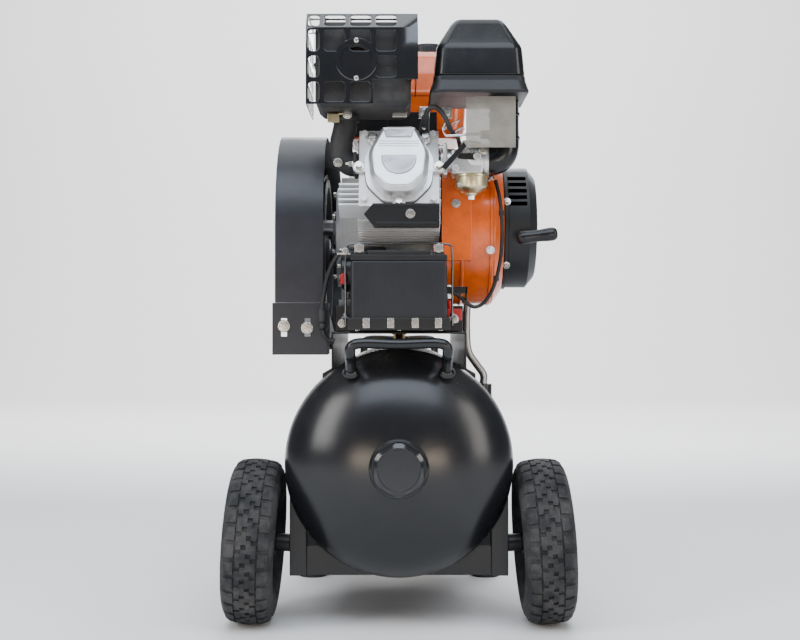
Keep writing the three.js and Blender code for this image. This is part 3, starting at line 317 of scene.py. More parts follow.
def stand_in(name, bm, finish, node, smooth=38):
    """A finished piece in place of one node."""
    return piece(name, bm, finish, node, (node,), smooth)


# ---- Finishes ----

class Signal:
    """A shader socket that can be used in sums."""

    def __init__(self, finish, socket):
        self.finish, self.socket = finish, socket

    def maths(self, operation, *values):
        ins = {i: value for i, value in enumerate(values)}
        return self.finish.node("ShaderNodeMath", {"operation": operation}, ins).out()

    def __add__(self, other):
        return self.maths("ADD", self, other)

    def __radd__(self, other):
        return self.maths("ADD", other, self)

    def __sub__(self, other):
        return self.maths("SUBTRACT", self, other)

    def __rsub__(self, other):
        return self.maths("SUBTRACT", other, self)

    def __mul__(self, other):
        return self.maths("MULTIPLY", self, other)

    def __rmul__(self, other):
        return self.maths("MULTIPLY", other, self)

    def __pow__(self, other):
        return self.maths("POWER", self, other)

    def clamped(self, low, high):
        """The signal's part between two values, spread over 0 to 1."""
        ins = {"Value": self, "From Min": low, "From Max": high}
        return self.finish.node("ShaderNodeMapRange", {"clamp": True}, ins).out("Result")


class Step:
    """A made node, whose outputs are signals."""

    def __init__(self, finish, made):
        self.finish, self.made = finish, made

    def out(self, name=0):
        return Signal(self.finish, self.made.outputs[name])


class Finish:
    """One procedural material on object coordinates."""

    def __init__(self, name):
        self.material = bpy.data.materials.new(name)
        self.material.use_nodes = True
        self.tree = self.material.node_tree
        self.tree.nodes.clear()
        self.place = self.node("ShaderNodeTexCoord").out("Object")

    def node(self, kind, settings=None, inputs=None):
        made = self.tree.nodes.new(kind)
        for name, value in (settings or {}).items():
            setattr(made, name, value)
        for name, value in (inputs or {}).items():
            if isinstance(value, Signal):
                self.tree.links.new(value.socket, made.inputs[name])
            else:
                made.inputs[name].default_value = value
        return Step(self, made)

    def stretched(self, scale):
        return self.node("ShaderNodeMapping", None, {"Vector": self.place, "Scale": scale}).out()

    def noise(self, scale, detail=3, roughness=0.5, place=None):
        ins = {"Vector": place or self.place, "Scale": scale, "Detail": detail, "Roughness": roughness}
        return self.node("ShaderNodeTexNoise", None, ins).out()

    def cells(self, scale, place=None):
        ins = {"Vector": place or self.place, "Scale": scale}
        return self.node("ShaderNodeTexVoronoi", {"feature": "SMOOTH_F1"}, ins).out("Distance")

    def facing_up(self):
        """How far the surface faces the sky, 0 to 1."""
        normal = self.node("ShaderNodeTexCoord").out("Normal")
        split = self.node("ShaderNodeSeparateXYZ", None, {0: normal})
        return split.out("Z").clamped(0.2, 1)

    def mix(self, factor, first, second):
        """Colour between two others."""
        def opaque(colour):
            return colour if isinstance(colour, Signal) else (*colour, 1)
        ins = {0: factor, 6: opaque(first), 7: opaque(second)}
        return self.node("ShaderNodeMix", {"data_type": "RGBA"}, ins).out(2)

    def bump(self, height, strength, distance=0.0005):
        ins = {"Height": height, "Strength": strength, "Distance": distance}
        return self.node("ShaderNodeBump", None, ins).out()

    def end(self, inputs):
        shader = self.node("ShaderNodeBsdfPrincipled", None, inputs)
        self.node("ShaderNodeOutputMaterial", None, {"Surface": shader.out()})
        return self.material


def shade(colour, factor):
    return tuple(min(1, channel * factor) for channel in colour)


def enamel(name, colour, roughness=0.3, dust=0.12, peel=0.25, coat=0.0):
    """Sprayed enamel: faint orange peel, a little dust on what faces up, duller patches."""
    f = Finish(name)
    cloud = f.noise(9, 4, 0.6)
    grime = f.facing_up() * cloud.clamped(0.35, 0.75) * dust
    tint = f.mix(f.noise(38, 4, 0.65).clamped(0.3, 0.8), shade(colour, 0.8), shade(colour, 1.25))
    base = f.mix(grime, tint, (0.34, 0.32, 0.29))
    gloss = roughness + 0.12 * (cloud - 0.5) + 0.4 * grime
    texture = f.bump(f.noise(620, 2, 0.4), peel * 0.25, 0.0002)
    ripple = f.node("ShaderNodeBump", None, {
        "Height": f.noise(95, 2, 0.4), "Strength": peel, "Distance": 0.0004, "Normal": texture}).out()
    return f.end({"Base Color": base, "Roughness": gloss, "Normal": ripple,
                  "Coat Weight": coat, "Coat Roughness": 0.12, "Specular IOR Level": 0.45})


def cast(name, colour, roughness=0.42, grain=0.5, metal=1.0, stain=0.35):
    """Sand or die casting: pitted grain, darker in its hollows, a few stains."""
    f = Finish(name)
    pits = f.noise(900, 3, 0.6)
    patches = f.noise(26, 5, 0.7).clamped(0.4, 0.75)
    tint = f.mix(patches * stain, colour, shade(colour, 0.55))
    base = f.mix(pits.clamped(0.25, 0.6), shade(colour, 0.72), tint)
    rough = roughness + 0.22 * (pits - 0.5) + 0.12 * patches
    relief = f.bump(pits + 0.6 * f.cells(420), grain, 0.0003)
    return f.end({"Base Color": base, "Roughness": rough, "Metallic": metal, "Normal": relief})


def plated(name, colour, roughness=0.24):
    """Zinc or chrome plate over drawn steel: fine lines and faint yellowing."""
    f = Finish(name)
    lines = f.noise(140, 3, 0.5, f.stretched((1, 1, 9)))
    tinge = f.noise(60, 3, 0.6).clamped(0.45, 0.8)
    base = f.mix(tinge * 0.5, colour, (colour[0], colour[1] * 0.9, colour[2] * 0.66))
    rough = roughness + 0.1 * (lines - 0.4)
    return f.end({"Base Color": base, "Roughness": rough, "Metallic": 1.0,
                  "Normal": f.bump(lines, 0.04, 0.0002)})


def moulded(name, colour, roughness=0.4, grain=0.3, dust=0.1):
    """Moulded plastic: fine spark grain and a veil of dust."""
    f = Finish(name)
    fine = f.cells(1500)
    haze = f.noise(14, 4, 0.6).clamped(0.4, 0.8)
    grime = haze * f.facing_up() * dust
    tint = f.mix(f.noise(50, 3, 0.6), shade(colour, 0.85), shade(colour, 1.2))
    base = f.mix(grime, tint, (0.36, 0.34, 0.31))
    rough = roughness + 0.12 * (haze - 0.5) + 0.1 * (fine - 0.5)
    return f.end({"Base Color": base, "Roughness": rough, "Specular IOR Level": 0.35,
                  "Normal": f.bump(fine, grain, 0.0002)})


def rubbered(name, colour, roughness=0.78, dust=0.3, grain=0.5):
    """Vulcanised rubber: dull, slightly chalky, with dust in its grain."""
    f = Finish(name)
    fine = f.noise(1100, 3, 0.6)
    chalk = f.noise(30, 5, 0.7).clamped(0.42, 0.78)
    base = f.mix(chalk * dust, shade(colour, 0.9), (0.21, 0.20, 0.19))
    rough = roughness + 0.18 * (fine - 0.5) + 0.08 * chalk
    return f.end({"Base Color": base, "Roughness": rough, "Specular IOR Level": 0.3,
                  "Normal": f.bump(fine, grain, 0.0003)})


def heated(name, colour, roughness=0.62):
    """Heat-proof black going brown and grey where it has been hottest."""
    f = Finish(name)
    bloom = f.noise(22, 5, 0.7).clamped(0.48, 0.8)
    rust = f.noise(70, 5, 0.75).clamped(0.62, 0.8)
    base = f.mix(rust * 0.45, f.mix(bloom * 0.5, colour, (0.10, 0.095, 0.09)), (0.13, 0.055, 0.025))
    rough = roughness + 0.2 * bloom
    return f.end({"Base Color": base, "Roughness": rough, "Metallic": 0.25 * (1 - rust),
                  "Normal": f.bump(f.noise(500, 4, 0.6), 0.5, 0.0003)})


def smoked(name, colour):
    """Milky see-through sheet."""
    f = Finish(name)
    haze = f.noise(45, 4, 0.6)
    base = f.mix(haze.clamped(0.3, 0.8), shade(colour, 0.85), shade(colour, 1.1))
    return f.end({"Base Color": base, "Roughness": 0.28 + 0.2 * haze, "Alpha": 0.62 + 0.18 * haze,
                  "Normal": f.bump(haze, 0.2, 0.0005), "Coat Weight": 0.4})


def clear(name):
    f = Finish(name)
    smear = f.noise(60, 3, 0.6)
    return f.end({"Base Color": f.mix(smear, (0.95, 0.96, 0.96), (0.88, 0.9, 0.9)), "IOR": 1.5,
                  "Roughness": 0.03 + 0.08 * smear, "Alpha": 0.22 + 0.1 * smear})


# ---- Sizes and colours a user would change ----

class CompressorSizes(bpy.types.PropertyGroup):
    edge: FloatProperty(name="Edge rounding", description="Rounding of folded sheet edges, millimetres",
                        default=0.9, min=0.2, max=3)
    tread_blocks: IntProperty(name="Tread pitches", description="Tread blocks round each tyre", default=30, min=12,
                              max=60)
    tread_depth: FloatProperty(name="Tread depth", description="Depth of the tread grooves, millimetres",
                               default=3.4, min=1, max=8)
    belt_grooves: IntProperty(name="Belt ribs", description="Ribs across the belt and its pulleys", default=4,
                              min=1, max=8)
    camera_height: FloatProperty(name="Camera height", description="Height of the camera above the floor",
                                 default=0.463, unit="LENGTH")
    camera_distance: FloatProperty(name="Camera distance",
                                   description="Distance of the camera from the machine's middle",
                                   default=2.296, unit="LENGTH")


def tint(label, description, default):
    return FloatVectorProperty(name=label, description=description, default=default, size=3, subtype="COLOR",
                               min=0, max=1)


class CompressorColours(bpy.types.PropertyGroup):
    tank: tint("Tank enamel", "Satin black of tank, brackets and platform", (0.0055, 0.006, 0.0075))
    guard: tint("Guard enamel", "Satin blue-black of the belt guard", (0.012, 0.013, 0.018))
    orange: tint("Engine orange", "Enamel of fan shroud and fuel tank", (0.66, 0.098, 0.003))
    alloy: tint("Castings", "Die-cast alloy of crankcase and cylinder", (0.72, 0.73, 0.74))
    plastic: tint("Black plastic", "Air cleaner, recoil housing and caps", (0.0055, 0.006, 0.007))
    rubber: tint("Tyre rubber", "Tyres and feet", (0.017, 0.018, 0.020))


FINISHES = {}


def mix_finishes(colours):
    """Every finish of the machine, by name."""
    FINISHES.update({
        "tank": enamel("satin_black_enamel", colours.tank, 0.24, 0.10, 0.22),
        # The plugs take the tank's enamel lightened by 1.3: a painted highlight that brightens their facets.
        "plug": enamel("plug_enamel_painted_highlight", shade(colours.tank, 1.3), 0.22, 0.06, 0.1, 0.3),
        "chassis": enamel("chassis_enamel", colours.tank, 0.34, 0.22, 0.3),
        "rim": enamel("rim_enamel", shade(colours.tank, 0.9), 0.36, 0.3, 0.3),
        "guard": enamel("guard_enamel", colours.guard, 0.36, 0.12, 0.35),
        "cage": enamel("cage_enamel", shade(colours.tank, 0.9), 0.2, 0.06, 0.12, 0.7),
        "panel": enamel("panel_enamel", shade(colours.tank, 1.1), 0.32, 0.12, 0.25),
        "orange": enamel("orange_enamel", colours.orange, 0.26, 0.10, 0.18, 0.4),
        "red": enamel("red_enamel", (0.42, 0.014, 0.01), 0.3, 0.08, 0.15, 0.3),
        "alloy": cast("die_cast_alloy", colours.alloy, 0.48, 0.6, 0.35),
        "bright": cast("bright_alloy", (0.70, 0.71, 0.72), 0.30, 0.35, 0.85, 0.15),
        "iron": cast("painted_iron", (0.045, 0.048, 0.055), 0.5, 0.8, 0.25),
        "turned": plated("turned_steel", (0.46, 0.46, 0.47), 0.3),
        "zinc": plated("bright_zinc", (0.66, 0.65, 0.62)),
        "chrome": plated("bright_wire", (0.72, 0.73, 0.75), 0.14),
        "wire": plated("coated_wire", (0.16, 0.165, 0.175), 0.38),
        "steel_pipe": plated("coated_steel_pipe", (0.34, 0.34, 0.35), 0.34),
        "brass": plated("machined_brass", (0.62, 0.42, 0.16), 0.28),
        # Yellow-tinted bright alloy for the float bowl and the exhaust bracket; on the float bowl, shiny steel, the
        # yellow tint is a painted reflection.
        "gold": cast("yellow_tint_and_painted_reflection_alloy", (0.66, 0.58, 0.36), 0.28, 0.2, 1.0, 0.2),
        "plastic": moulded("black_plastic", colours.plastic, 0.27, 0.12, 0.08),
        "grain": moulded("grained_plastic", shade(colours.plastic, 1.4), 0.46, 0.45, 0.14),
        "battery": moulded("battery_case", (0.010, 0.011, 0.014), 0.42, 0.2, 0.08),
        "lid": moulded("battery_lid", (0.008, 0.0085, 0.0095), 0.42, 0.3, 0.12),
        "red_plastic": moulded("red_plastic", (0.36, 0.01, 0.01), 0.42, 0.3, 0.1),
        "white": moulded("pale_dial", (0.78, 0.77, 0.74), 0.5, 0.1, 0.05),
        "tyre": rubbered("tyre_rubber", colours.rubber),
        "foot": rubbered("foot_rubber", shade(colours.rubber, 0.7), 0.7, 0.2),
        "sheath": rubbered("cable_sheath", (0.012, 0.012, 0.013), 0.45, 0.12, 0.2),
        "belt": rubbered("belt_rubber", (0.016, 0.016, 0.017), 0.7, 0.2),
        "hot": heated("heat_proof_black", (0.016, 0.016, 0.017)),
        "smoked": smoked("smoked_sheet", (0.24, 0.225, 0.195)),
        "glass": clear("gauge_glass"),
    })


# ---- Stage ----

def area_light(name, size, power, colour, place, target):
    lamp = bpy.data.lights.new(name, "AREA")
    lamp.shape, lamp.size, lamp.size_y = "RECTANGLE", size[0], size[1]
    lamp.energy, lamp.color = power, colour
    made = bpy.data.objects.new(name, lamp)
    made.location = place
    made.rotation_euler = (Vector(target) - Vector(place)).to_track_quat("-Z", "Y").to_euler()
    bpy.context.scene.collection.objects.link(made)


def set_stage(sizes):
    """Camera, sweep of pale floor and backdrop, soft lights."""
    scene = bpy.context.scene
    lens = bpy.data.cameras.new("camera")
    lens.sensor_width = 36
    lens.lens = 58.5
    camera = bpy.data.objects.new("camera", lens)
    camera.location = (0.0016, -sizes.camera_distance, sizes.camera_height)
    camera.rotation_euler = (math.radians(90.353), 0, 0)
    scene.collection.objects.link(camera)
    scene.camera = camera

    sweep = Finish("pale_sweep")
    mottle = sweep.noise(1.5, 2, 0.5)
    paint = sweep.end({"Base Color": sweep.mix(mottle, (0.86, 0.86, 0.86), (0.88, 0.88, 0.88)), "Roughness": 0.9})
    bm = bmesh.new()
    bend = [(-9, 0)] + [(6 + 3 * math.sin(a), 3 - 3 * math.cos(a)) for a in
                        [math.radians(5 * i) for i in range(19)]] + [(9, 9)]
    strip = [bm.verts.new((-9, y, z)) for y, z in bend]
    edges = [bm.edges.new(pair) for pair in zip(strip, strip[1:])]
    grown = bmesh.ops.extrude_edge_only(bm, edges=edges)["geom"]
    bmesh.ops.translate(bm, verts=[v for v in grown if isinstance(v, bmesh.types.BMVert)], vec=(18, 0, 0))
    bmesh.ops.recalc_face_normals(bm, faces=bm.faces)
    mesh = bpy.data.meshes.new("floor_sweep")
    bm.to_mesh(mesh)
    bm.free()
    mesh.shade_smooth()
    mesh.materials.append(paint)
    floor = bpy.data.objects.new("floor_sweep", mesh)
    scene.collection.objects.link(floor)

    world = bpy.data.worlds.new("studio")
    world.use_nodes = True
    world.node_tree.nodes["Background"].inputs["Color"].default_value = (0.86, 0.9, 1.0, 1)
    world.node_tree.nodes["Background"].inputs["Strength"].default_value = 0.24
    scene.world = world
    middle = (0, 0, 0.5)
    area_light("overhead_sky", (3.2, 2.2), 120, (0.78, 0.87, 1.0), (0, -2.2, 3.0), middle)
    area_light("top_bank", (2.6, 2.6), 60, (0.9, 0.95, 1.0), (0, 0.6, 3.2), middle)
    area_light("key_left", (1.2, 2.2), 75, (1.0, 0.985, 0.96), (-2.6, -2.2, 1.7), middle)
    area_light("fill_right", (1.0, 2.2), 45, (1.0, 0.96, 0.9), (2.7, -2.0, 1.3), middle)
    area_light("low_left", (0.7, 0.35), 9, (1.0, 0.84, 0.66), (-0.9, -2.8, 0.25), middle)
    area_light("low_right", (0.7, 0.35), 9, (1.0, 0.84, 0.66), (0.9, -2.8, 0.25), middle)
    area_light("backdrop_wash", (7, 3), 1000, (1, 1, 1), (0, 2.6, 4.4), (0, 8.5, 2.4))
    area_light("rear_rim", (2.2, 1.6), 50, (0.92, 0.96, 1.0), (0.6, 2.8, 2.2), middle)


# ---- Tank ----

def dished(radius, depth, inner, steps=22):
    """Head profile from the barrel to a boss radius, as (radius, height beyond the barrel)."""
    start = math.asin(inner / radius)
    angles = [math.pi / 2 - (math.pi / 2 - start) * i / steps for i in range(steps + 1)]
    return [(radius * math.sin(a), depth * math.cos(a)) for a in angles]


BOSS_RADIUS = 42
PORT_RADIUS = 30
BOSS_STAND = 8
BARREL_END = 300
HEAD_DEPTH = 88
WELD_LEAN = math.radians(40)


def tank_end(side):
    head = dished(TANK_RADIUS, HEAD_DEPTH, BOSS_RADIUS)
    reach = BARREL_END + HEAD_DEPTH + BOSS_STAND
    lip = [(BOSS_RADIUS, reach - 1.5), (BOSS_RADIUS - 1.5, reach), (PORT_RADIUS + 1, reach), (PORT_RADIUS, reach - 1)]
    outer = [(r, BARREL_END + h) for r, h in head] + lip
    inner = [(r - 3, BARREL_END + h - 3) for r, h in reversed(dished(TANK_RADIUS, HEAD_DEPTH, PORT_RADIUS + 3, 12))]
    return [(r, side * h) for r, h in outer + inner]


def build_tank():
    bm = bmesh.new()
    front, back = tank_end(-1), tank_end(1)
    spun(bm, front + list(reversed(back)), "y", (0, 0, TANK_Z), 128, closed=True)
    stand_in("tank_shell", bm, "tank", "air_tank", 30)

    bm = bmesh.new()
    for side in (-1, 1):
        y = side * (BARREL_END + 3)
        bead = [(TANK_RADIUS - 1.5, y - 5), (TANK_RADIUS - 0.1, y - 3), (TANK_RADIUS, y),
                (TANK_RADIUS - 0.3, y + 3),
                (TANK_RADIUS - 1.5, y + 5)]
        spun(bm, bead, "y", (0, 0, TANK_Z), 160, closed=True)
        collar = side * (BARREL_END + HEAD_DEPTH - 2)
        ring = [(BOSS_RADIUS - 1, collar - side * 4), (BOSS_RADIUS + 4, collar - side * 3.5),
                (BOSS_RADIUS + 1.6, collar + side * 0.6),
                (BOSS_RADIUS - 1, collar + side * 2)]
        spun(bm, ring, "y", (0, 0, TANK_Z), 96, closed=True)
    piece("tank_welds", bm, "tank", "air_tank")

    bm = bmesh.new()
    low = TANK_Z - TANK_RADIUS
    soften(bm, rod(bm, (0, 200, low - 10), (0, 200, low + 3), 13, None, 40), 1)
    check_top = TANK_Z + math.sqrt(TANK_RADIUS ** 2 - 150 ** 2) + 18
    soften(bm, rod(bm, (150, 20, check_top - 26), (150, 20, check_top), 15, None, 40), 1)
    riser_top = TANK_Z + TANK_RADIUS * math.sqrt(1 - (30 / HEAD_DEPTH) ** 2)
    soften(bm, rod(bm, (0, 330, riser_top - 6), (0, 330, riser_top + 10), 16, None, 40), 1)
    piece("tank_sockets", bm, "tank", "air_tank")


def build_plug(node, side):
    """Round-hexagon plug whose chamfer runs up to a flat round face with a centre mark."""
    seat = BARREL_END + HEAD_DEPTH + BOSS_STAND + GAP
    face = seat + 11.7
    angles = [math.tau * i / 96 for i in range(96)]

    def outline(apothem, radius):
        sixth = math.pi / 3
        return [min(radius, apothem / math.cos((a + sixth / 2) % sixth - sixth / 2)) for a in angles]

    levels = [(seat, 36.6, 39.6), (face - 5, 36.6, 39.6), (face - 4.3, 36.2, 39), (face - 0.7, 33.4, 33.4),
              (face, 32.6, 32.6), (face, 31, 31), (face - 0.8, 30.2, 30.2), (face - 0.8, 2.4, 2.4),
              (face - 0.2, 2, 2)]
    bm = bmesh.new()
    rings = []
    for height, apothem, radius in levels:
        reach = outline(apothem, radius)
        rings.append([bm.verts.new((r * math.cos(a), side * height, TANK_Z + r * math.sin(a)))
                      for r, a in zip(reach, angles)])
    for under, over in zip(rings, rings[1:]):
        for i in range(96):
            bm.faces.new((under[i], under[i - 1], over[i - 1], over[i]))
    bm.faces.new(rings[0])
    bm.faces.new(rings[-1])
    thread = [(0, side * (seat - 24)), (29.4, side * (seat - 24)), (29.4, side * (seat + 1)), (0, side * (seat + 1))]
    spun(bm, thread, "y", (0, 0, TANK_Z), 64)
    bmesh.ops.recalc_face_normals(bm, faces=bm.faces)
    # Its finish is the lightened plug enamel, a painted highlight on the plug's facets.
    stand_in(f"{node}_head", bm, "plug", node, 12)


# ---- Wheels ----

def tyre_profile():
    """Half of the carcass from bead to crown, as (radius, width) pairs."""
    return [(54, 16.6), (57, 19), (62, 20), (70, 27.6), (80, 34.8), (91, 38.6), (101, 39.5), (108, 39), (114, 37)]


def tread_lines(rim):
    """Lines across the tread, as (radius, width), from the left shoulder to the right one."""
    half = [(rim - 6.2, 33), (rim - 3.2, 27), (rim - 1.3, 17.7), (rim - 1.1, 15.6), (rim - 0.2, 7.6), (rim, 0)]
    return [(r, -w) for r, w in half] + [(r, w) for r, w in reversed(half[:-1])]


TREAD_COLUMNS = 10  # bands between the tread lines; 2 and 7 are the grooves
GROOVES = (2, 7)
STEPS_PER_PITCH = 4


def is_block(column, step):
    """Whether a tread face stands proud: staggered centre blocks, saw-toothed shoulders."""
    turn = step % STEPS_PER_PITCH
    if column in GROOVES:
        return False
    if column in (0, 1):
        return turn != 3
    if column in (8, 9):
        return turn != 1
    if column in (3, 4):
        return turn != (0 if column == 4 else 1)
    return turn != (2 if column == 5 else 3)


def build_tyre(node, side, sizes):
    outer = 128.6
    rim = outer - sizes.tread_depth * 0.98
    flank = tyre_profile()
    left = [(r, -w) for r, w in flank]
    right = [(r, w) for r, w in reversed(flank)]
    lining = [(76, 15), (114, 21), (118, 0), (114, -21), (76, -15)]
    bm = bmesh.new()
    profile = left + tread_lines(rim) + right + lining
    steps = sizes.tread_blocks * STEPS_PER_PITCH
    spun(bm, profile, "z", (0, 0, 0), steps, closed=True)
    bounds = [w for _, w in tread_lines(rim)]
    chosen = []
    for face in bm.faces:
        middle = face.calc_center_median()
        radius = math.hypot(middle.x, middle.y)
        if radius < rim - 6 or not bounds[0] < middle.z < bounds[-1]:
            continue
        column = next(i for i in range(TREAD_COLUMNS) if bounds[i] <= middle.z <= bounds[i + 1])
        step = int(round(math.atan2(middle.y, middle.x) / math.tau * steps - 0.5)) % steps
        if is_block(column, step):
            chosen.append(face)
    kept = set(chosen)
    inner_edges = [e for f in chosen for e in f.edges if all(g in kept for g in e.link_faces)]
    grown = bmesh.ops.extrude_face_region(bm, geom=chosen + list(set(inner_edges)))
    raised = [item for item in grown["geom"] if isinstance(item, bmesh.types.BMVert)]
    for vert in raised:
        flat = Vector((vert.co.x, vert.co.y, 0))
        vert.co += flat.normalized() * sizes.tread_depth * (1 if abs(vert.co.z) < 30 else 0.7)
        vert.co.x *= 0.9992
    tops = [item for item in grown["geom"] if isinstance(item, bmesh.types.BMFace)]
    rims = [e for e in {e for f in tops for e in f.edges} if sum(g in set(tops) for g in e.link_faces) == 1]
    bevel(bm, rims, 0.45, 1)
    for radius, width in ((104, 39.4), (88, 37.9)):
        for end in (-1, 1):
            ring = [(radius - 1.2, end * (width - 1)), (radius, end * (width + 0.25)),
                    (radius + 1.2, end * (width - 1))]
            spun(bm, ring, "z", (0, 0, 0), 96, closed=True)
    turn_wheel(bm, side)
    stand_in(f"{node}_carcass", bm, "tyre", node, 32)


def turn_wheel(bm, side):
    """Moves a wheel made about +Z to its own cambered axle."""
    centre = pivot("left_wheel_roll" if side < 0 else "right_wheel_roll")
    turn = Matrix.Rotation(-side * WHEEL_CAMBER, 4, "Y") @ Matrix.Rotation(math.pi / 2, 4, "Y")
    place = Matrix.Translation(centre) @ turn
    bmesh.ops.transform(bm, matrix=place, verts=bm.verts)


def build_rim(node, side):
    """Pressed rim: rolled flanges, well, dished disc, hub and its nuts."""
    flange, half, bore = 53.6, 16, 10.4
    section = [(bore, -34), (19, -34), (19, -2), (24, 1), (40, 1), (44, 0), (46, -4), (49, -half),
               (flange, -half - 2.6),
               (flange, -half - 4), (50, -half - 4), (47, -half), (44.5, -4), (44.5, 4), (47, half), (50, half + 4),
               (flange, half + 4), (flange, half + 2.6), (49, half), (46, 6), (42, 5), (24, 5), (19, 8), (19, 34),
               (bore, 34)]
    bm = bmesh.new()
    made = spun(bm, section, "z", (0, 0, 0), 72, closed=True)
    soften(bm, made, 0.5, 2, 40)
    turn_wheel(bm, side)
    stand_in(f"{node}_pressing", bm, "rim", node, 40)

    bm = bmesh.new()
    for i in range(5):
        angle = math.tau * i / 5
        spot = Vector((31 * math.cos(angle), 31 * math.sin(angle), 0))
        for end in (-1, 1):
            depth = 5 if end > 0 else -1
            hex_bolt(bm, spot + Vector((0, 0, depth if end > 0 else 1)), (0, 0, end), 8, 4, True, 3 if end > 0 else 0)
    rod(bm, (42, 0, 5), (45, 0, 24), 3.2, 2.6, 20)
    turn_wheel(bm, side)
    piece(f"{node}_bolts", bm, "zinc", node)


def build_axle():
    stand_in("axle_frame", cad_copy("axle_bracket", 1.4, 3), "chassis", "axle_bracket", 30)
    for side, name in ((-1, "left"), (1, "right")):
        bm = bmesh.new()
        spun(bm, [(0, side * 39.2), (15.5, side * 39.2), (15.5, side * 41), (13, side * 42), (0, side * 42)], "z",
             (0, 0, 0), 48)
        soften(bm, rod(bm, (0, 0, side * 41), (0, 0, side * 43.4), 10.5, None, 6), 0.8, 2)
        rod(bm, (0, 0, side * 43), (0, 0, side * 44.6), 6, 5, 24)
        turn_wheel(bm, side)
        bmesh.ops.recalc_face_normals(bm, faces=bm.faces)
        piece(f"axle_nut_{name}", bm, "zinc", "axle_bracket")


def build_feet():
    stand_in("foot_beam", cad_copy("foot_bracket", 1.0, 2), "chassis", "foot_bracket", 30)
    for node in ("foot_left", "foot_right"):
        low, high = box_of(node)
        centre = ((low.x + high.x) / 2, (low.y + high.y) / 2, 0)
        r = (high.x - low.x) / 2
        profile = [(0, 0), (r - 2, 0), (r, 2), (r, 8), (r - 1.5, 10), (r - 6, 12.5), (r - 6.5, 18),
                   (r - 6.5, high.z - 1),
                   (r - 7.5, high.z), (0, high.z)]
        bm = bmesh.new()
        spun(bm, profile, "z", centre, 72)
        stand_in(f"{node}_pad", bm, "foot", node, 40)
        bm = bmesh.new()
        hex_bolt(bm, (centre[0], centre[1] + 12, high.z + 4.3), (0, 0, 1), 9, 5, True, 4)
        piece(f"{node}_bolt", bm, "zinc", "foot_bracket")


def build_handle(node, side):
    low, high = box_of(node)
    weld_y, half = 348, 72
    weld_z = low.z + 9.4
    bar_y, bar_z = weld_y + 38, high.z - 8
    arm = [(half, weld_y, weld_z), (half, weld_y + 18, weld_z + 22), (half, bar_y - 6, bar_z - 16),
           (half * 0.985, bar_y - 1, bar_z - 5), (half * 0.9, bar_y, bar_z)]
    route = arm + [(0, bar_y, bar_z)] + [(-x, y, z) for x, y, z in reversed(arm)]
    bm = bmesh.new()
    tube(bm, [(x, side * y, z) for x, y, z in route], 8, 6, 6)
    for x in (-half, half):
        spun(bm, [(8, -3), (12.5, -4), (11.4, 0.5), (8.6, 3.4)], "z", (0, 0, 0), 40, closed=True)
        fillet = [v for v in bm.verts if v.co.length < 15]
        turn = Matrix.Rotation(-side * WELD_LEAN, 4, "X")
        lean = Matrix.Translation((x, side * (weld_y + 1), weld_z + 1)) @ turn
        bmesh.ops.transform(bm, matrix=lean, verts=fillet)
    stand_in(f"{node}_bar", bm, "tank", node)


# ---- Platform and rail ----

def build_platform():
    stand_in("platform_channel", cad_copy("platform", 1.2, 3), "chassis", "platform", 30)
    stand_in("rail_channel", cad_copy("engine_rail", 1.6, 3), "chassis", "engine_rail", 30)
    low, high = box_of("platform")
    bm = bmesh.new()
    for side in (-1, 1):
        x = side * (high.x - 4)
        bead = TANK_Z + math.sqrt(TANK_RADIUS ** 2 - x * x) + 1.5
        for i in range(7):
            y = low.y + 24 + i * (high.y - low.y - 48) / 6
            tube(bm, [(x, y - 14, bead), (x, y - 5, bead + 0.6), (x, y + 5, bead), (x, y + 14, bead + 0.3)], 3, 3, 3)
    piece("platform_welds", bm, "chassis", "platform")

    rail_low, rail_high = box_of("engine_rail")
    bm = bmesh.new()
    hex_bolt(bm, (-88, rail_low.y, 470), (0, -1, 0), 9, 5, True, 0)
    for x in (-74, 74):
        for y in (rail_low.y + 34, rail_high.y - 40):
            hex_bolt(bm, (x, y, rail_high.z + 10.6), (0, 0, 1), 11, 6.5, True, 3)
    piece("rail_bolts", bm, "zinc", "engine_rail")

    bm = bmesh.new()
    for x in (-64, 0, 64):
        pad(bm, (x - 3, rail_low.y - 1.2, 458.5), (x + 3, rail_low.y + 0.5, 462.5), 0.5)
    piece("rail_tabs", bm, "zinc", "engine_rail")


# ---- Battery ----

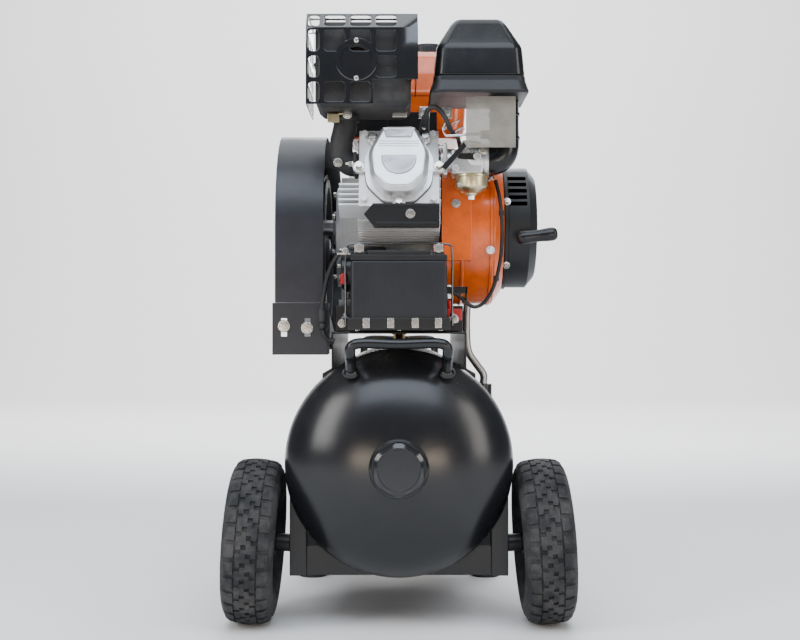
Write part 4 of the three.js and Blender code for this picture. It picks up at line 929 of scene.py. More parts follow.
def build_battery():
    """Ribbed case, stepped lid with its caps, posts with lugs, tray clips and wire strap."""
    low, high = box_of("battery")
    lid = high.z - 13
    bm = bmesh.new()
    case = block(bm, (low.x, low.y, low.z), (high.x, high.y, lid - 8))
    soften(bm, case, 4, 4)
    for i in range(17):
        x = low.x + 9 + i * (high.x - low.x - 18) / 16
        pad(bm, (x - 1.6, low.y - 0.25, low.z + 20), (x + 1.6, low.y + 2, lid - 16), 0.2, 1)
    for j in range(9):
        y = low.y + 10 + j * (high.y - low.y - 20) / 8
        for x in (low.x, high.x):
            pad(bm, (x - 0.8, y - 1.2, low.z + 20), (x + 0.8, y + 1.2, lid - 16), 0.4, 2)
    stand_in("battery_case", bm, "battery", "battery")

    bm = bmesh.new()
    pad(bm, (low.x - 0.8, low.y - 0.8, lid - 8.6), (high.x + 0.8, high.y + 0.8, lid), 1.6, 3)
    pad(bm, (low.x + 24, low.y + 3, lid - 1), (high.x - 24, high.y - 3, lid + 6.5), 2, 3)
    middle = (low.y + high.y) / 2
    for i in range(6):
        x = low.x + 33 + i * (high.x - low.x - 66) / 5
        plug = rod(bm, (x, middle, lid + 6), (x, middle, lid + 8.4), 6, None, 28)
        soften(bm, plug, 0.7)
    for x in (low.x + 12, high.x - 12):
        pad(bm, (x - 9, low.y + 3, lid - 1), (x + 9, low.y + 24, lid + 2.4), 0.8)
    piece("battery_lid", bm, "lid", "battery")

    bm = bmesh.new()
    for side in (-1, 1):
        x = (low.x + 12) if side < 0 else (high.x - 12)
        pad(bm, (x - 7, low.y + 4.6, lid + 2), (x + 7, low.y + 7.4, lid + 15), 0.6)
        pad(bm, (x - 7, low.y + 4.6, lid + 2), (x + 7, low.y + 20, lid + 4.6), 0.6)
        hex_bolt(bm, (x, low.y + 4.4, lid + 9.4), (0, -1, 0), 9, 4.4)
    piece("battery_posts", bm, "zinc", "battery")

    bm = bmesh.new()
    pad(bm, (high.x - 20, low.y + 8.5, lid + 2.4), (high.x - 3, low.y + 22, lid + 16), 2.2, 3)
    piece("positive_cap", bm, "red_plastic", "battery")

    stand_in("tray_pressing", cad_copy("battery_tray", 0.9, 2), "chassis", "battery_tray", 30)
    tray_low = box_of("battery_tray")[0]
    bm = bmesh.new()
    for x in (-48, -12, 24, 58):
        clip = block(bm, (x - 5, tray_low.y - 1, tray_low.z + 3), (x + 5, tray_low.y + 5, tray_low.z + 17.5))
        soften(bm, clip, 0.6)
    piece("tray_clips", bm, "zinc", "battery_tray")

    strap_low, strap_high = box_of("battery_strap")
    x, y, top = strap_high.x - 2.2, (strap_low.y + strap_high.y) / 2, strap_high.z - 2.2
    rise = [(x, y, strap_low.z), (x, y, strap_low.z + 40), (x, y, top - 12), (x - 2, y, top - 3), (x - 12, y, top)]
    bm = bmesh.new()
    tube(bm, rise + [(0, y, top)] + [(-u, v, w) for u, v, w in reversed(rise)], 1.7, 6, 4)
    for side in (-1, 1):
        hex_bolt(bm, (side * x, y, strap_low.z + 13), (0, 0, 1), 7, 4, True, 0)
        pad(bm, (side * x - 6, y - 6, strap_low.z + 10.6), (side * x + 4, y + 6, strap_low.z + 13), 0.6)
    stand_in("strap_wire", bm, "wire", "battery_strap")


BATTERY_CABLE = [
    (-80, -358, 577), (-88, -352, 575), (-98, -344, 563), (-107, -336, 543), (-113, -329, 518), (-117, -323, 492),
    (-117, -318, 470), (-115, -314, 455), (-110, -311, 447), (-104, -310, 444), (-98, -310, 443),
]
SHROUD_CABLE = [
    (150, -279, 692), (155, -287, 668), (158, -293, 640), (159, -294, 608), (157, -289, 572), (151, -280, 540),
    (141, -272, 514), (128, -269, 499), (116, -272, 496), (104, -278, 503), (94, -283, 512), (84, -288, 518),
]
PLUG_LEAD = [
    (40, -196, 150), (43, -202, 160), (52, -206, 164), (62, -206, 158), (70, -204, 146), (76, -198, 134),
    (82, -186, 127), (87, -172, 126), (90, -156, 125), (93, -136, 120), (96, -114, 111), (98, -96, 101),
]


def build_cables():
    bm = bmesh.new()
    tube(bm, BATTERY_CABLE, 3.5, 8, 5)
    stand_in("battery_lead", bm, "sheath", "battery_cable")
    bm = bmesh.new()
    tube(bm, SHROUD_CABLE, 3, 8, 5)
    for spot in (SHROUD_CABLE[2], SHROUD_CABLE[5]):
        tube(bm, [(spot[0], spot[1], spot[2] - 4), (spot[0], spot[1], spot[2] + 4)], 4.2, 2, 4)
    stand_in("shroud_lead", bm, "sheath", "shroud_cable")
    bm = bmesh.new()
    tube(bm, [ENGINE + Vector(p) for p in PLUG_LEAD], 3.5, 8, 5)
    stand_in("ignition_lead", bm, "sheath", "plug_lead")

    bm = bmesh.new()
    boot = [(0, 492), (5.5, 492), (6.5, 488), (6.5, 476), (4.5, 472), (0, 472)]
    spun(bm, boot, "z", (-117, -320, 0), 36)
    bmesh.ops.create_uvsphere(bm, u_segments=28, v_segments=16, radius=6.4,
                              matrix=Matrix.Translation((-117, -318.5, 466)))
    piece("cable_boot", bm, "sheath", "battery_cable")
    bm = bmesh.new()
    pad(bm, (-92, -362, 572.4), (-72, -352, 574.6), 0.5)
    hex_bolt(bm, (-80, -362.4, 577), (0, -1, 0), 7, 3)
    piece("cable_lug", bm, "zinc", "battery_cable")


def build_side_switch():
    """Starter relay beside the battery: silver can, black bracket, red boot and its nut."""
    bm = bmesh.new()
    can = [(0, 508), (8, 508), (9, 509.5), (9, 528), (8, 529.5), (0, 529.5)]
    spun(bm, can, "z", (76, -276, 0), 48)
    piece("relay_can", bm, "bright", "crankcase")
    bm = bmesh.new()
    pad(bm, (70, -286, 516), (106, -283, 527), 0.7)
    pad(bm, (103, -286, 506), (106, -262, 527), 0.7)
    piece("relay_bracket", bm, "panel", "crankcase")
    bm = bmesh.new()
    boot = block(bm, (72, -302, 474), (97, -291, 493))
    soften(bm, boot, 3.4, 4)
    soften(bm, rod(bm, (79, -296, 490), (77, -294, 505), 5, 4, 28), 1, 3)
    piece("relay_boot", bm, "red_plastic", "engine_rail")
    bm = bmesh.new()
    hex_bolt(bm, (85, -302, 477), (0, -1, 0), 9, 4.5, True, 3)
    piece("relay_nut", bm, "zinc", "engine_rail")


# ---- Engine body ----

def build_crankcase():
    stand_in("crankcase_casting", cad_copy("crankcase", 2.0, 3), "alloy", "crankcase", 32)
    bm = bmesh.new()
    centre = ENGINE + Vector((0, 22, -14))
    for i in range(8):
        angle = math.tau * (i + 0.5) / 8
        spot = Vector((-101, centre.y + 73 * math.cos(angle), centre.z + 73 * math.sin(angle)))
        hex_bolt(bm, spot, (-1, 0, 0), 8, 5)
    for y in (-40, 102):
        for x in (-70, 36):
            hex_bolt(bm, (x, ENGINE.y + y, 508.4), (0, 0, 1), 9, 5.5)
    piece("crankcase_bolts", bm, "zinc", "crankcase")
    bm = bmesh.new()
    filler = [(0, 0), (11, 0), (12, 2), (12, 9), (9, 12), (0, 12)]
    spun(bm, filler, "y", (40, ENGINE.y - 68.5, 522), 40)
    pad(bm, (38.6, ENGINE.y - 71, 512), (41.4, ENGINE.y - 66, 532), 0.7)
    piece("oil_cap", bm, "grain", "crankcase")
    bm = bmesh.new()
    hex_bolt(bm, (-20, ENGINE.y - 60.5, 512), (0, -1, 0), 10, 6)
    hex_bolt(bm, (12, ENGINE.y - 60.5, 512), (0, -1, 0), 8, 5)
    piece("oil_drain", bm, "zinc", "crankcase")


def tilt(bm):
    bmesh.ops.transform(bm, matrix=TILTED, verts=bm.verts)


def build_cylinder():
    """Head and barrel with their fins, head bolts, spark plug and plug cap."""
    stand_in("cylinder_casting", cad_copy("cylinder_block", 0.7, 2), "alloy", "cylinder_block", 30)
    bm = bmesh.new()
    for x, z in ((-52, -50), (52, -50), (-52, 60), (52, 60)):
        hex_bolt(bm, (x, -194, z), (0, -1, 0), 10, 7)
    for i in range(6):
        z = -50 + i * 19
        pad(bm, (58, -192, z), (63, -152, z + 2.6), 0.6)
    tilt(bm)
    piece("head_bolts", bm, "alloy", "cylinder_block")
    bm = bmesh.new()
    plug = [(0, -222), (4, -222), (4, -208), (6, -207), (6, -200), (8.5, -199), (8.5, -193), (0, -193)]
    spun(bm, plug, "y", (38, 0, 60), 32)
    tilt(bm)
    piece("spark_plug", bm, "zinc", "cylinder_block")
    bm = bmesh.new()
    start = TILTED @ Vector((38, -204, 60))
    end = ENGINE + Vector(PLUG_LEAD[0])
    rod(bm, start, end + Vector((0, 1, 2)), 8.2, 5.6, 32)
    soften(bm, bm.verts[:], 1.6, 3)
    piece("plug_cap", bm, "grain", "cylinder_block")


ROCKER_BODY = [(-25, 58), (25, 58), (46, 14), (42, -26), (19, -52), (-19, -52), (-42, -26), (-46, 14)]
ROCKER_EARS = [(-60, 2), (60, 2), (-40, 52), (40, 52), (0, -59)]


def build_rocker_cover():
    """Domed cover with a flange, a raised plateau, a trapezoid recess and a D-shaped rim."""
    seat = -195 - GAP
    bm = bmesh.new()
    flange = prism(bm, [(x * 1.15, z * 1.09) for x, z in ROCKER_BODY], "y", seat - 7, seat)
    bevel(bm, [e for e in sharp_edges(edges_of(flange)) if abs(e.verts[0].co.y - e.verts[1].co.y) > 5], 9, 5)
    before = set(bm.verts)
    body = prism(bm, ROCKER_BODY, "y", seat - 30, seat - 6)
    bevel(bm, [e for e in sharp_edges(edges_of(body), 20) if abs(e.verts[0].co.y - e.verts[1].co.y) > 5], 9, 6)
    body = [v for v in bm.verts if v not in before]
    front = min(faces_of(body), key=lambda f: f.calc_center_median().y)
    bmesh.ops.inset_region(bm, faces=[front], thickness=6, depth=9)
    body = [v for v in bm.verts if v not in before]
    bevel(bm, sharp_edges(edges_of(body), 20), 2.2, 4)
    for x, z in ROCKER_EARS:
        reach = math.hypot(x, z)
        ear = rod(bm, (x, seat - 8, z), (x, seat, z), 9.4, None, 40)
        soften(bm, ear, 1, 3)
        neck = block(bm, (0, seat - 7.4, -8), (reach, seat - 0.4, 8))
        bmesh.ops.rotate(bm, cent=(0, 0, 0), matrix=Matrix.Rotation(-math.atan2(z, x), 3, "Y"), verts=neck)
        soften(bm, neck, 1.2, 3)
    face = seat - 39
    raised = [(-24, 50), (24, 50), (19, 34), (-19, 34)]
    frame_line(bm, raised, face, 2.2, 1.6)
    d_outline = [(-26, -2), (-26, 4), (26, 4), (26, -2)] + [(x, z) for x, z in arc(0, -2, 26, 0, -180, 18)][1:-1]
    frame_line(bm, d_outline, face, 2.2, 1.4)
    for z in (20, 24, 28):
        pad(bm, (-30, face - 0.9, z - 0.8), (30, face + 1, z + 0.8), 0.4)
    tilt(bm)
    stand_in("rocker_casting", bm, "bright", "rocker_cover", 35)
    bm = bmesh.new()
    for x, z in ROCKER_EARS:
        hex_bolt(bm, (x, seat - 8, z), (0, -1, 0), 10, 6.5)
    tilt(bm)
    piece("rocker_bolts", bm, "zinc", "rocker_cover")
    bm = bmesh.new()
    gasket = prism(bm, [(x * 1.17, z * 1.11) for x, z in ROCKER_BODY], "y", seat - 0.4, seat + 0.9)
    bevel(bm, [e for e in sharp_edges(edges_of(gasket)) if abs(e.verts[0].co.y - e.verts[1].co.y) > 1], 9, 4)
    tilt(bm)
    piece("rocker_gasket", bm, "sheath", "cylinder_block")


def frame_line(bm, outline, face, width, height):
    """A raised rim that follows an outline on a face at a depth along Y."""
    before = set(bm.verts)
    prism(bm, outline, "y", face - height, face + 0.5)
    made = [v for v in bm.verts if v not in before]
    front = min(faces_of(made), key=lambda f: f.calc_center_median().y)
    bmesh.ops.inset_region(bm, faces=[front], thickness=width, depth=-height)
    made = [v for v in bm.verts if v not in before]
    soften(bm, made, 0.4, 2)


def build_deflector():
    stand_in("deflector_pressing", cad_copy("cylinder_deflector", 0.8, 2), "panel", "cylinder_deflector")
    low, high = box_of("cylinder_deflector")
    bm = bmesh.new()
    hex_bolt(bm, (17, low.y, 632), (0, -1, 0), 9, 5, True, 3)
    piece("deflector_nut", bm, "zinc", "cylinder_deflector")
    bm = bmesh.new()
    pad(bm, (-36, low.y - 0.9, high.z - 3.4), (58, low.y + 1, high.z - 1.2), 0.6)
    pad(bm, (-34, low.y - 0.9, low.z + 4), (56, low.y + 1, low.z + 6), 0.6)
    piece("deflector_ribs", bm, "panel", "cylinder_deflector")


def build_starter():
    """Starter motor: drawn can, end covers, through bolts, solenoid and its red cap."""
    y, z = ENGINE.y - 96, ENGINE.z - 76
    can = [(0, -90), (25, -90), (28, -88.5), (28.6, -84), (31.4, -83), (32, -81), (32, -30), (31.2, -29), (31.2, -26),
           (32, -25), (32, 26), (30, 29), (26.5, 31), (26, 34), (26, 57), (25, 58), (0, 58)]
    bm = bmesh.new()
    spun(bm, can, "x", (0, y, z), 72)
    sol = [(0, -84), (11, -84), (12, -82), (12, -24), (11, -20), (0, -20)]
    spun(bm, sol, "x", (0, ENGINE.y - 118, ENGINE.z - 50), 48)
    pad(bm, (-70, ENGINE.y - 118, ENGINE.z - 70), (-30, ENGINE.y - 96, ENGINE.z - 50), 3, 3)
    stand_in("starter_can", bm, "panel", "starter_motor")
    bm = bmesh.new()
    for turn in (-20, 160):
        a = math.radians(turn)
        spot = Vector((-90, y + 22 * math.cos(a), z + 22 * math.sin(a)))
        hex_bolt(bm, spot, (-1, 0, 0), 6, 4)
    rod(bm, (-92, ENGINE.y - 120, ENGINE.z - 44), (-84, ENGINE.y - 120, ENGINE.z - 44), 3, None, 20)
    piece("starter_bolts", bm, "zinc", "starter_motor")
    bm = bmesh.new()
    cap = block(bm, (-91, ENGINE.y - 134, ENGINE.z - 98), (-80, ENGINE.y - 120, ENGINE.z - 80))
    soften(bm, cap, 3, 4)
    piece("starter_cap", bm, "red_plastic", "starter_motor")


# ---- Exhaust ----

OUTLET = Vector((-62, 0, 227))
CAGE_COLUMNS = [-136, -113, -75, -37.5, 0, 28]
CAGE_ROWS = [162, 198, 236, 274]
CAGE_FRONT, CAGE_BACK, CAGE_TOP = -245, -96, 299
BAR = 7


def build_exhaust():
    port = 84
    bend = [(-63, port), (-76, port + 2), (-86, port + 14), (-88, port + 34), (-84, port + 52), (-82, 148),
            (-82, 161.7)]
    bm = bmesh.new()
    tube(bm, [ENGINE + Vector((x, -152, z)) for x, z in bend], 17.6, 8, 7)
    plate_at = ENGINE + Vector((-66, -152, port))
    pad(bm, plate_at - Vector((3, 26, 18)), plate_at + Vector((3, 26, 18)), 2.4, 3)
    collar = [(17, 150), (21, 150), (22, 152), (22, 156), (17, 157)]
    spun(bm, collar, "z", ENGINE + Vector((-82, -152, 0)), 56, closed=True)
    stand_in("exhaust_elbow", bm, "hot", "exhaust_pipe")
    bm = bmesh.new()
    for y in (-20, 20):
        hex_bolt(bm, plate_at + Vector((-3, y, 0)), (-1, 0, 0), 9, 6, True, 4)
    hex_bolt(bm, ENGINE + Vector((-92, -172, port + 2)), (0, -1, 0), 9, 5, True, 3)
    hex_bolt(bm, ENGINE + Vector((-78, -177, 158)), (0, -1, 0), 9, 5, True, 3)
    piece("exhaust_nuts", bm, "zinc", "exhaust_pipe")
    bm = bmesh.new()
    pad(bm, ENGINE + Vector((-108, -176, 146)), ENGINE + Vector((-90, -173, 161)), 0.8)
    pad(bm, ENGINE + Vector((-108, -176, 158)), ENGINE + Vector((-72, -150, 161)), 0.8)
    piece("exhaust_bracket", bm, "gold", "exhaust_pipe")


def build_muffler():
    low, high = Vector((-124, -226, 162)) + ENGINE, Vector((18, -92, 288)) + ENGINE
    bm = bmesh.new()
    levels = [(low.z, 8), (low.z + 8, 0), (low.z + 60, 0), (low.z + 61, -2.4), (low.z + 65, -2.4), (low.z + 66, 0),
              (high.z - 8, 0), (high.z, 8)]
    moulding(bm, low, high, levels, 14, 1.6)
    outlet = ENGINE + OUTLET
    spout = [(22, -240), (22, -224), (19.6, -224), (19.6, -240)]
    spun(bm, spout, "y", (outlet.x, ENGINE.y, outlet.z), 64, closed=True)
    spun(bm, [(0, -226.6), (19.8, -226.6), (19.8, -226), (0, -226)], "y", (outlet.x, ENGINE.y, outlet.z), 48)
    stand_in("muffler_can", bm, "hot", "muffler")


def pierced(bm, across, up, is_open, corner, place):
    """A sheet on a grid of lines, with a round-cornered window in each open cell and none where is_open is None."""
    grid = [[bm.verts.new((*place(u, v),)) for u in across] for v in up]
    for j in range(len(up) - 1):
        for i in range(len(across) - 1):
            frame_of = (grid[j + 1][i + 1], grid[j + 1][i], grid[j][i], grid[j][i + 1])
            if is_open(i, j) is None:
                continue
            if not is_open(i, j):
                bm.faces.new(frame_of)
                continue
            half_u, half_v = (across[i + 1] - across[i] - BAR) / 2, (up[j + 1] - up[j] - BAR) / 2
            middle = ((across[i] + across[i + 1]) / 2, (up[j] + up[j + 1]) / 2)
            ring = [bm.verts.new((*place(middle[0] + u, middle[1] + v),))
                    for u, v in rounded_box(half_u, half_v, min(corner, half_u * 0.9, half_v * 0.9), 4)]
            for k in range(4):
                turn = ring[5 * k:5 * k + 5]
                for a, b in zip(turn, turn[1:]):
                    bm.faces.new((frame_of[k], b, a))
                bm.faces.new((frame_of[k], frame_of[(k + 1) % 4], ring[(5 * k + 5) % 20], turn[-1]))


def thicken(bm, thickness, rounding=0.5):
    bmesh.ops.recalc_face_normals(bm, faces=bm.faces)
    bmesh.ops.solidify(bm, geom=bm.faces[:], thickness=thickness)
    bmesh.ops.recalc_face_normals(bm, faces=bm.faces)
    bevel(bm, sharp_edges(bm.edges, 50), rounding, 2)


def merge_in(bm, other):
    """Adds another mesh to this one."""
    holder = bpy.data.meshes.new("part")
    other.to_mesh(holder)
    other.free()
    bm.from_mesh(holder)
    bpy.data.meshes.remove(holder)


def build_cage():
    """Pressed guard: a folded front and top with windows, and pierced sides."""
    chamfer = CAGE_ROWS[-1] + math.hypot(22, 25)
    ups = CAGE_ROWS + [chamfer, chamfer + 32, chamfer + 78, chamfer + 127]

    def fold(u, v):
        if v <= CAGE_ROWS[-1]:
            return ENGINE + Vector((u, CAGE_FRONT, v))
        share = (v - CAGE_ROWS[-1]) / (chamfer - CAGE_ROWS[-1])
        if share <= 1:
            return ENGINE + Vector((u, CAGE_FRONT + 22 * share, CAGE_ROWS[-1] + 25 * share))
        return ENGINE + Vector((u, CAGE_FRONT + 22 + v - chamfer, CAGE_TOP))

    def front_open(i, j):
        if i > 2 and j == 0:
            return None
        beside_ring = i in (1, 2) and j == 1
        return not (beside_ring or (i == 4 and j < 4))

    bm = bmesh.new()
    pierced(bm, CAGE_COLUMNS, ups, front_open, 6, fold)
    thicken(bm, 1.8, 0.85)
    for side, x in ((-1, CAGE_COLUMNS[0]), (1, CAGE_COLUMNS[-1] - 1.8)):
        other = bmesh.new()
        depth = [CAGE_FRONT + 1, CAGE_FRONT + 60, CAGE_FRONT + 105, CAGE_BACK]
        rows = (CAGE_ROWS if side < 0 else CAGE_ROWS[1:]) + [CAGE_TOP - 1]
        pierced(other, depth, rows, lambda i, j: side < 0 and j < 3, 5,
                lambda u, v: ENGINE + Vector((x, u, v)))
        for vert in other.verts:
            spot = vert.co - ENGINE
            vert.co.y += max(0, spot.z - CAGE_ROWS[-1]) * 0.88 * max(0, 1 - (spot.y - CAGE_FRONT) / 40)
        thicken(other, 1.8)
        merge_in(bm, other)
    ring_at = ENGINE + OUTLET
    ring = [(23.4, CAGE_FRONT - 2.4), (30, CAGE_FRONT - 2.4), (31.4, CAGE_FRONT - 1), (31.4, CAGE_FRONT),
            (23.4, CAGE_FRONT)]
    spun(bm, ring, "y", (ring_at.x, ENGINE.y, ring_at.z), 72, closed=True)
    stand_in("cage_pressing", bm, "cage", "muffler_guard", 40)
    bm = bmesh.new()
    for z in (-27.6, 27.6):
        spot = ring_at + Vector((0, CAGE_FRONT - 2.4, z))
        screw = rod(bm, spot, spot + Vector((0, -1.6, 0)), 4, 2.6, 28)
        soften(bm, screw, 0.5, 3)
    piece("cage_screws", bm, "zinc", "muffler_guard")


# ---- Air cleaner and carburettor ----

CLEANER_LOW = Vector((52, -226, 182))
CLEANER_HIGH = Vector((187, -88, 298.5))
PORT_Z = 90
CARB_AXIS = -160


def build_cleaner():
    low, high = CLEANER_LOW + ENGINE, CLEANER_HIGH + ENGINE
    seam = ENGINE.z + 207.5
    bm = bmesh.new()
    moulding(bm, low - Vector((6, 6, 0)), high + Vector((5, 6, 0)),
             [(low.z, 1), (low.z + 3, -0.5), (seam - 7, 4.5), (seam - 0.2, 5)], 16, 1.2)
    stand_in("cleaner_tray", bm, "grain", "air_cleaner_base")
    bm = bmesh.new()
    moulding(bm, low, high, [(seam + GAP, 0), (high.z - 46, 4), (high.z - 37, 9), (high.z - 8, 26), (high.z, 33)],
             18, 5, 0.6)
    stand_in("cleaner_cover", bm, "plastic", "air_cleaner_cover", 45)
    bm = bmesh.new()
    nut = Vector((105, -160 + ENGINE.y, high.z - 6))
    rod(bm, nut - Vector((0, 0, 4)), nut + Vector((0, 0, 4)), 5, 4, 24)
    for side in (-1, 1):
        wing = block(bm, nut + Vector((min(0, side * 15), -1.4, -1)), nut + Vector((max(0, side * 15), 1.4, 5)))
        soften(bm, wing, 1.2, 3)
    piece("wing_nut", bm, "grain", "air_cleaner_cover")


def build_intake():
    x, y = ENGINE.x + 160, ENGINE.y + CARB_AXIS
    low = ENGINE.z + PORT_Z
    bm = bmesh.new()
    tube(bm, [(137, y, low), (146, y, low + 1), (156, y, low + 8), (160, y, low + 20), (160, y, low + 50),
              (160, y, ENGINE.z + 181.7)], 22.4, 8, 7)
    for z in (low + 34, low + 70):
        spun(bm, [(22, z - 3), (24, z - 2), (24, z + 2), (22, z + 3)], "z", (x, y, 0), 64, closed=True)
    stand_in("intake_elbow", bm, "plastic", "intake_duct", 45)
    bm = cad_copy("intake_shield", 0.6, 2)
    stand_in("shield_sheet", bm, "smoked", "intake_shield", 30)


def build_carburettor():
    """Throat, die-cast body, flanges, bowl with its drain, linkage rods, springs and screws."""
    y = ENGINE.y + CARB_AXIS
    z = ENGINE.z + PORT_Z
    bm = bmesh.new()
    throat = [(0, 63.3), (17, 63.3), (18, 65), (18, 84), (15, 87), (15, 100), (20, 104), (22, 110), (22, 128),
              (24, 129),
              (24, 135), (22.5, 136), (0, 136)]
    spun(bm, throat, "x", (0, y, z), 64)
    pad(bm, (79, y - 20, z - 22), (127, y + 20, z + 15), 3.5, 4)
    pad(bm, (66, y - 23, z - 24), (73, y + 23, z + 24), 2.5, 3)
    soften(bm, rod(bm, (102, y, z + 13), (102, y, z + 28), 9, 7.5, 40), 1.2, 3)
    soften(bm, rod(bm, (85, y - 32, z - 15), (85, y - 14, z - 15), 5.2, None, 32), 1, 3)
    soften(bm, rod(bm, (118, y - 26, z + 4), (118, y - 14, z + 4), 6, None, 32), 1, 3)
    stand_in("carburettor_body", bm, "bright", "carburettor", 35)
    bm = bmesh.new()
    rim = z - 22
    bowl = [(0, rim), (26.5, rim), (26.5, rim - 3), (24.6, rim - 4), (24.6, rim - 17), (22.5, rim - 21),
            (14, rim - 27),
            (10, rim - 28), (9.4, rim - 30), (0, rim - 30)]
    spun(bm, bowl, "z", (110, y, 0), 72)
    # The bowl's yellow tint is a painted reflection on shiny steel.
    piece("float_bowl", bm, "gold", "carburettor")
    bm = bmesh.new()
    hex_bolt(bm, (110, y, rim - 30), (0, 0, -1), 10, 6, True)
    hex_bolt(bm, (94, y - 12, rim - 14), (-0.5, -1, -0.4), 7, 5, True)
    hex_bolt(bm, (127, y - 24.4, z + 12), (0, -1, 0), 8, 4, True)
    rod(bm, (66, y - 18, z + 18), (60, y - 18, z + 18), 3, None, 20)
    for dx in (0, 12, 24):
        rod(bm, (86 + dx, y - 22, z + 11), (86 + dx, y - 26, z + 11), 3.4, 3, 24)
    piece("carburettor_screws", bm, "zinc", "carburettor")
    bm = bmesh.new()
    rod(bm, (70, y - 34, z + 33), (120, y - 34, z + 36), 2.2, None, 20)
    tube(bm, [(70, y - 34, z + 33), (66, y - 34, z + 42), (70, y - 30, z + 54), (76, y - 26, z + 58)], 1.3, 6, 3)
    tube(bm, helix((80, y - 28, z + 36), (98, y - 28, z + 46), 3.2, 9), 0.55, 1, 2)
    tube(bm, helix((66, y - 26, z + 44), (92, y - 24, z + 58), 2.8, 11), 0.5, 1, 2)
    piece("linkage_rods", bm, "chrome", "carburettor")
    bm = bmesh.new()
    rod(bm, (122, y - 36, z + 34), (150, y - 36, z + 36), 6.4, 6.4, 36)
    soften(bm, bm.verts[:], 1, 3)
    piece("vapour_hose", bm, "sheath", "carburettor")
    bm = bmesh.new()
    for x in (30, 64):
        pad(bm, (x, y - 26, z + 60), (x + 16, y - 23, z + 78), 1, 2)
        hex_bolt(bm, (x + 8, y - 26.3, z + 69), (0, -1, 0), 8, 4)
    pad(bm, (-10, y - 4, z + 66), (12, y - 1, z + 80), 1, 2)
    piece("control_brackets", bm, "zinc", "carburettor")
    bm = bmesh.new()
    arm = prism(bm, [(64, 48), (70, 42), (102, 78), (97, 84)], "y", y - 33, y - 31)
    soften(bm, arm, 0.7, 2)
    bmesh.ops.translate(bm, verts=bm.verts, vec=(0, 0, ENGINE.z + 30))
    piece("governor_arm", bm, "panel", "carburettor")
    for node, finish, name in (("throttle_lever", "zinc", "throttle_arm"), ("choke_lever", "grain", "choke_arm")):
        stand_in(name, cad_copy(node, 0.4, 2), finish, node)


# ---- Fan shroud and recoil starter ----

def build_shroud():
    """Pressed orange shroud with creases, a seam, bolts and the duct to the cylinder."""
    bm = cad_copy("fan_shroud", 2.4, 3, 28)
    stand_in("shroud_pressing", bm, "orange", "fan_shroud", 40)
    centre = Vector((0, ENGINE.y, ENGINE.z))
    bm = bmesh.new()
    ring = [(126.2, 96), (127.4, 97), (127.4, 100), (126.2, 101)]
    spun(bm, ring, "x", centre, 96, closed=True)
    ring = [(126.2, 141), (127.6, 142), (127.6, 146), (126.2, 147)]
    spun(bm, ring, "x", centre, 96, closed=True)
    piece("shroud_beads", bm, "orange", "fan_shroud")
    bm = bmesh.new()
    for x, turn in ((74, 205), (74, 232), (142, 214), (142, 262), (142, 160)):
        a = math.radians(turn)
        toward = Vector((0, math.cos(a), -math.sin(a)))
        hex_bolt(bm, centre + Vector((x, 0, 0)) + toward * 126, toward, 9, 5)
    for x, z in ((88, 28), (88, 72)):
        hex_bolt(bm, ENGINE + Vector((x, -130, z)), (0, -1, 0), 9, 5)
    piece("shroud_bolts", bm, "zinc", "fan_shroud")


def build_recoil():
    """Black recoil housing: louvres, raised band, screws, centre badge left plain."""
    stand_in("recoil_shell", cad_copy("recoil_housing", 1.1, 2, 30), "grain", "recoil_housing", 36)
    centre = Vector((0, ENGINE.y, ENGINE.z))
    bm = bmesh.new()
    spun(bm, [(98.2, 166), (100.6, 167), (100.6, 172), (98.2, 173)], "x", centre, 96, closed=True)
    spun(bm, [(30, 219), (30, 220), (26, 221.4), (0, 221.4)], "x", centre, 72)
    for i in range(6):
        a = math.tau * (i + 0.5) / 6
        rib = block(bm, (214, -3, 34), (219.8, 3, 78))
        bmesh.ops.rotate(bm, cent=(0, 0, 0), matrix=Matrix.Rotation(a, 3, "X"), verts=rib)
        bmesh.ops.translate(bm, verts=rib, vec=centre)
        soften(bm, rib, 1, 2)
    piece("recoil_ribs", bm, "grain", "recoil_housing")
    bm = bmesh.new()
    for turn in (20, 140, 200, 260):
        a = math.radians(turn)
        toward = Vector((0, math.cos(a), -math.sin(a)))
        hex_bolt(bm, centre + Vector((170, 0, 0)) + toward * 100, toward, 8, 4.6)
    piece("recoil_bolts", bm, "zinc", "recoil_housing")


def build_grip():
    """Moulded pull grip, fuller at its ends, narrower in the middle."""
    centre = ENGINE + Vector((215, -114, -21))
    profile = [(0, -32), (5, -32), (8.6, -30), (10.6, -26), (10.8, -18), (9.8, -8), (9.5, 0), (9.8, 8), (10.8, 18),
               (10.6, 26), (8.6, 30), (5, 32), (0, 32)]
    bm = bmesh.new()
    spun(bm, [tuple(p) for p in rounded_path(profile, 3)], "x", (0, 0, 0), 56)
    bmesh.ops.scale(bm, vec=(1, 0.9, 1), verts=bm.verts)
    bmesh.ops.rotate(bm, cent=(0, 0, 0), matrix=Matrix.Rotation(math.radians(-7), 3, "Y"), verts=bm.verts)
    bmesh.ops.translate(bm, verts=bm.verts, vec=centre)
    stand_in("pull_grip", bm, "plastic", "pull_handle")


def build_key():
    stand_in("key_pressing", cad_copy("start_key", 0.5, 2), "zinc", "start_key")
    spot = ENGINE + Vector((135, 61.7, 132))
    bm = bmesh.new()
    spun(bm, [(5, 0.2), (9, 0.2), (9.6, 1), (9.6, -1), (5, -1)], "y", (spot.x, spot.y - 0.4, spot.z), 48, closed=True)
    piece("key_bezel", bm, "chrome", "fan_shroud")


# ---- Fuel tank ----

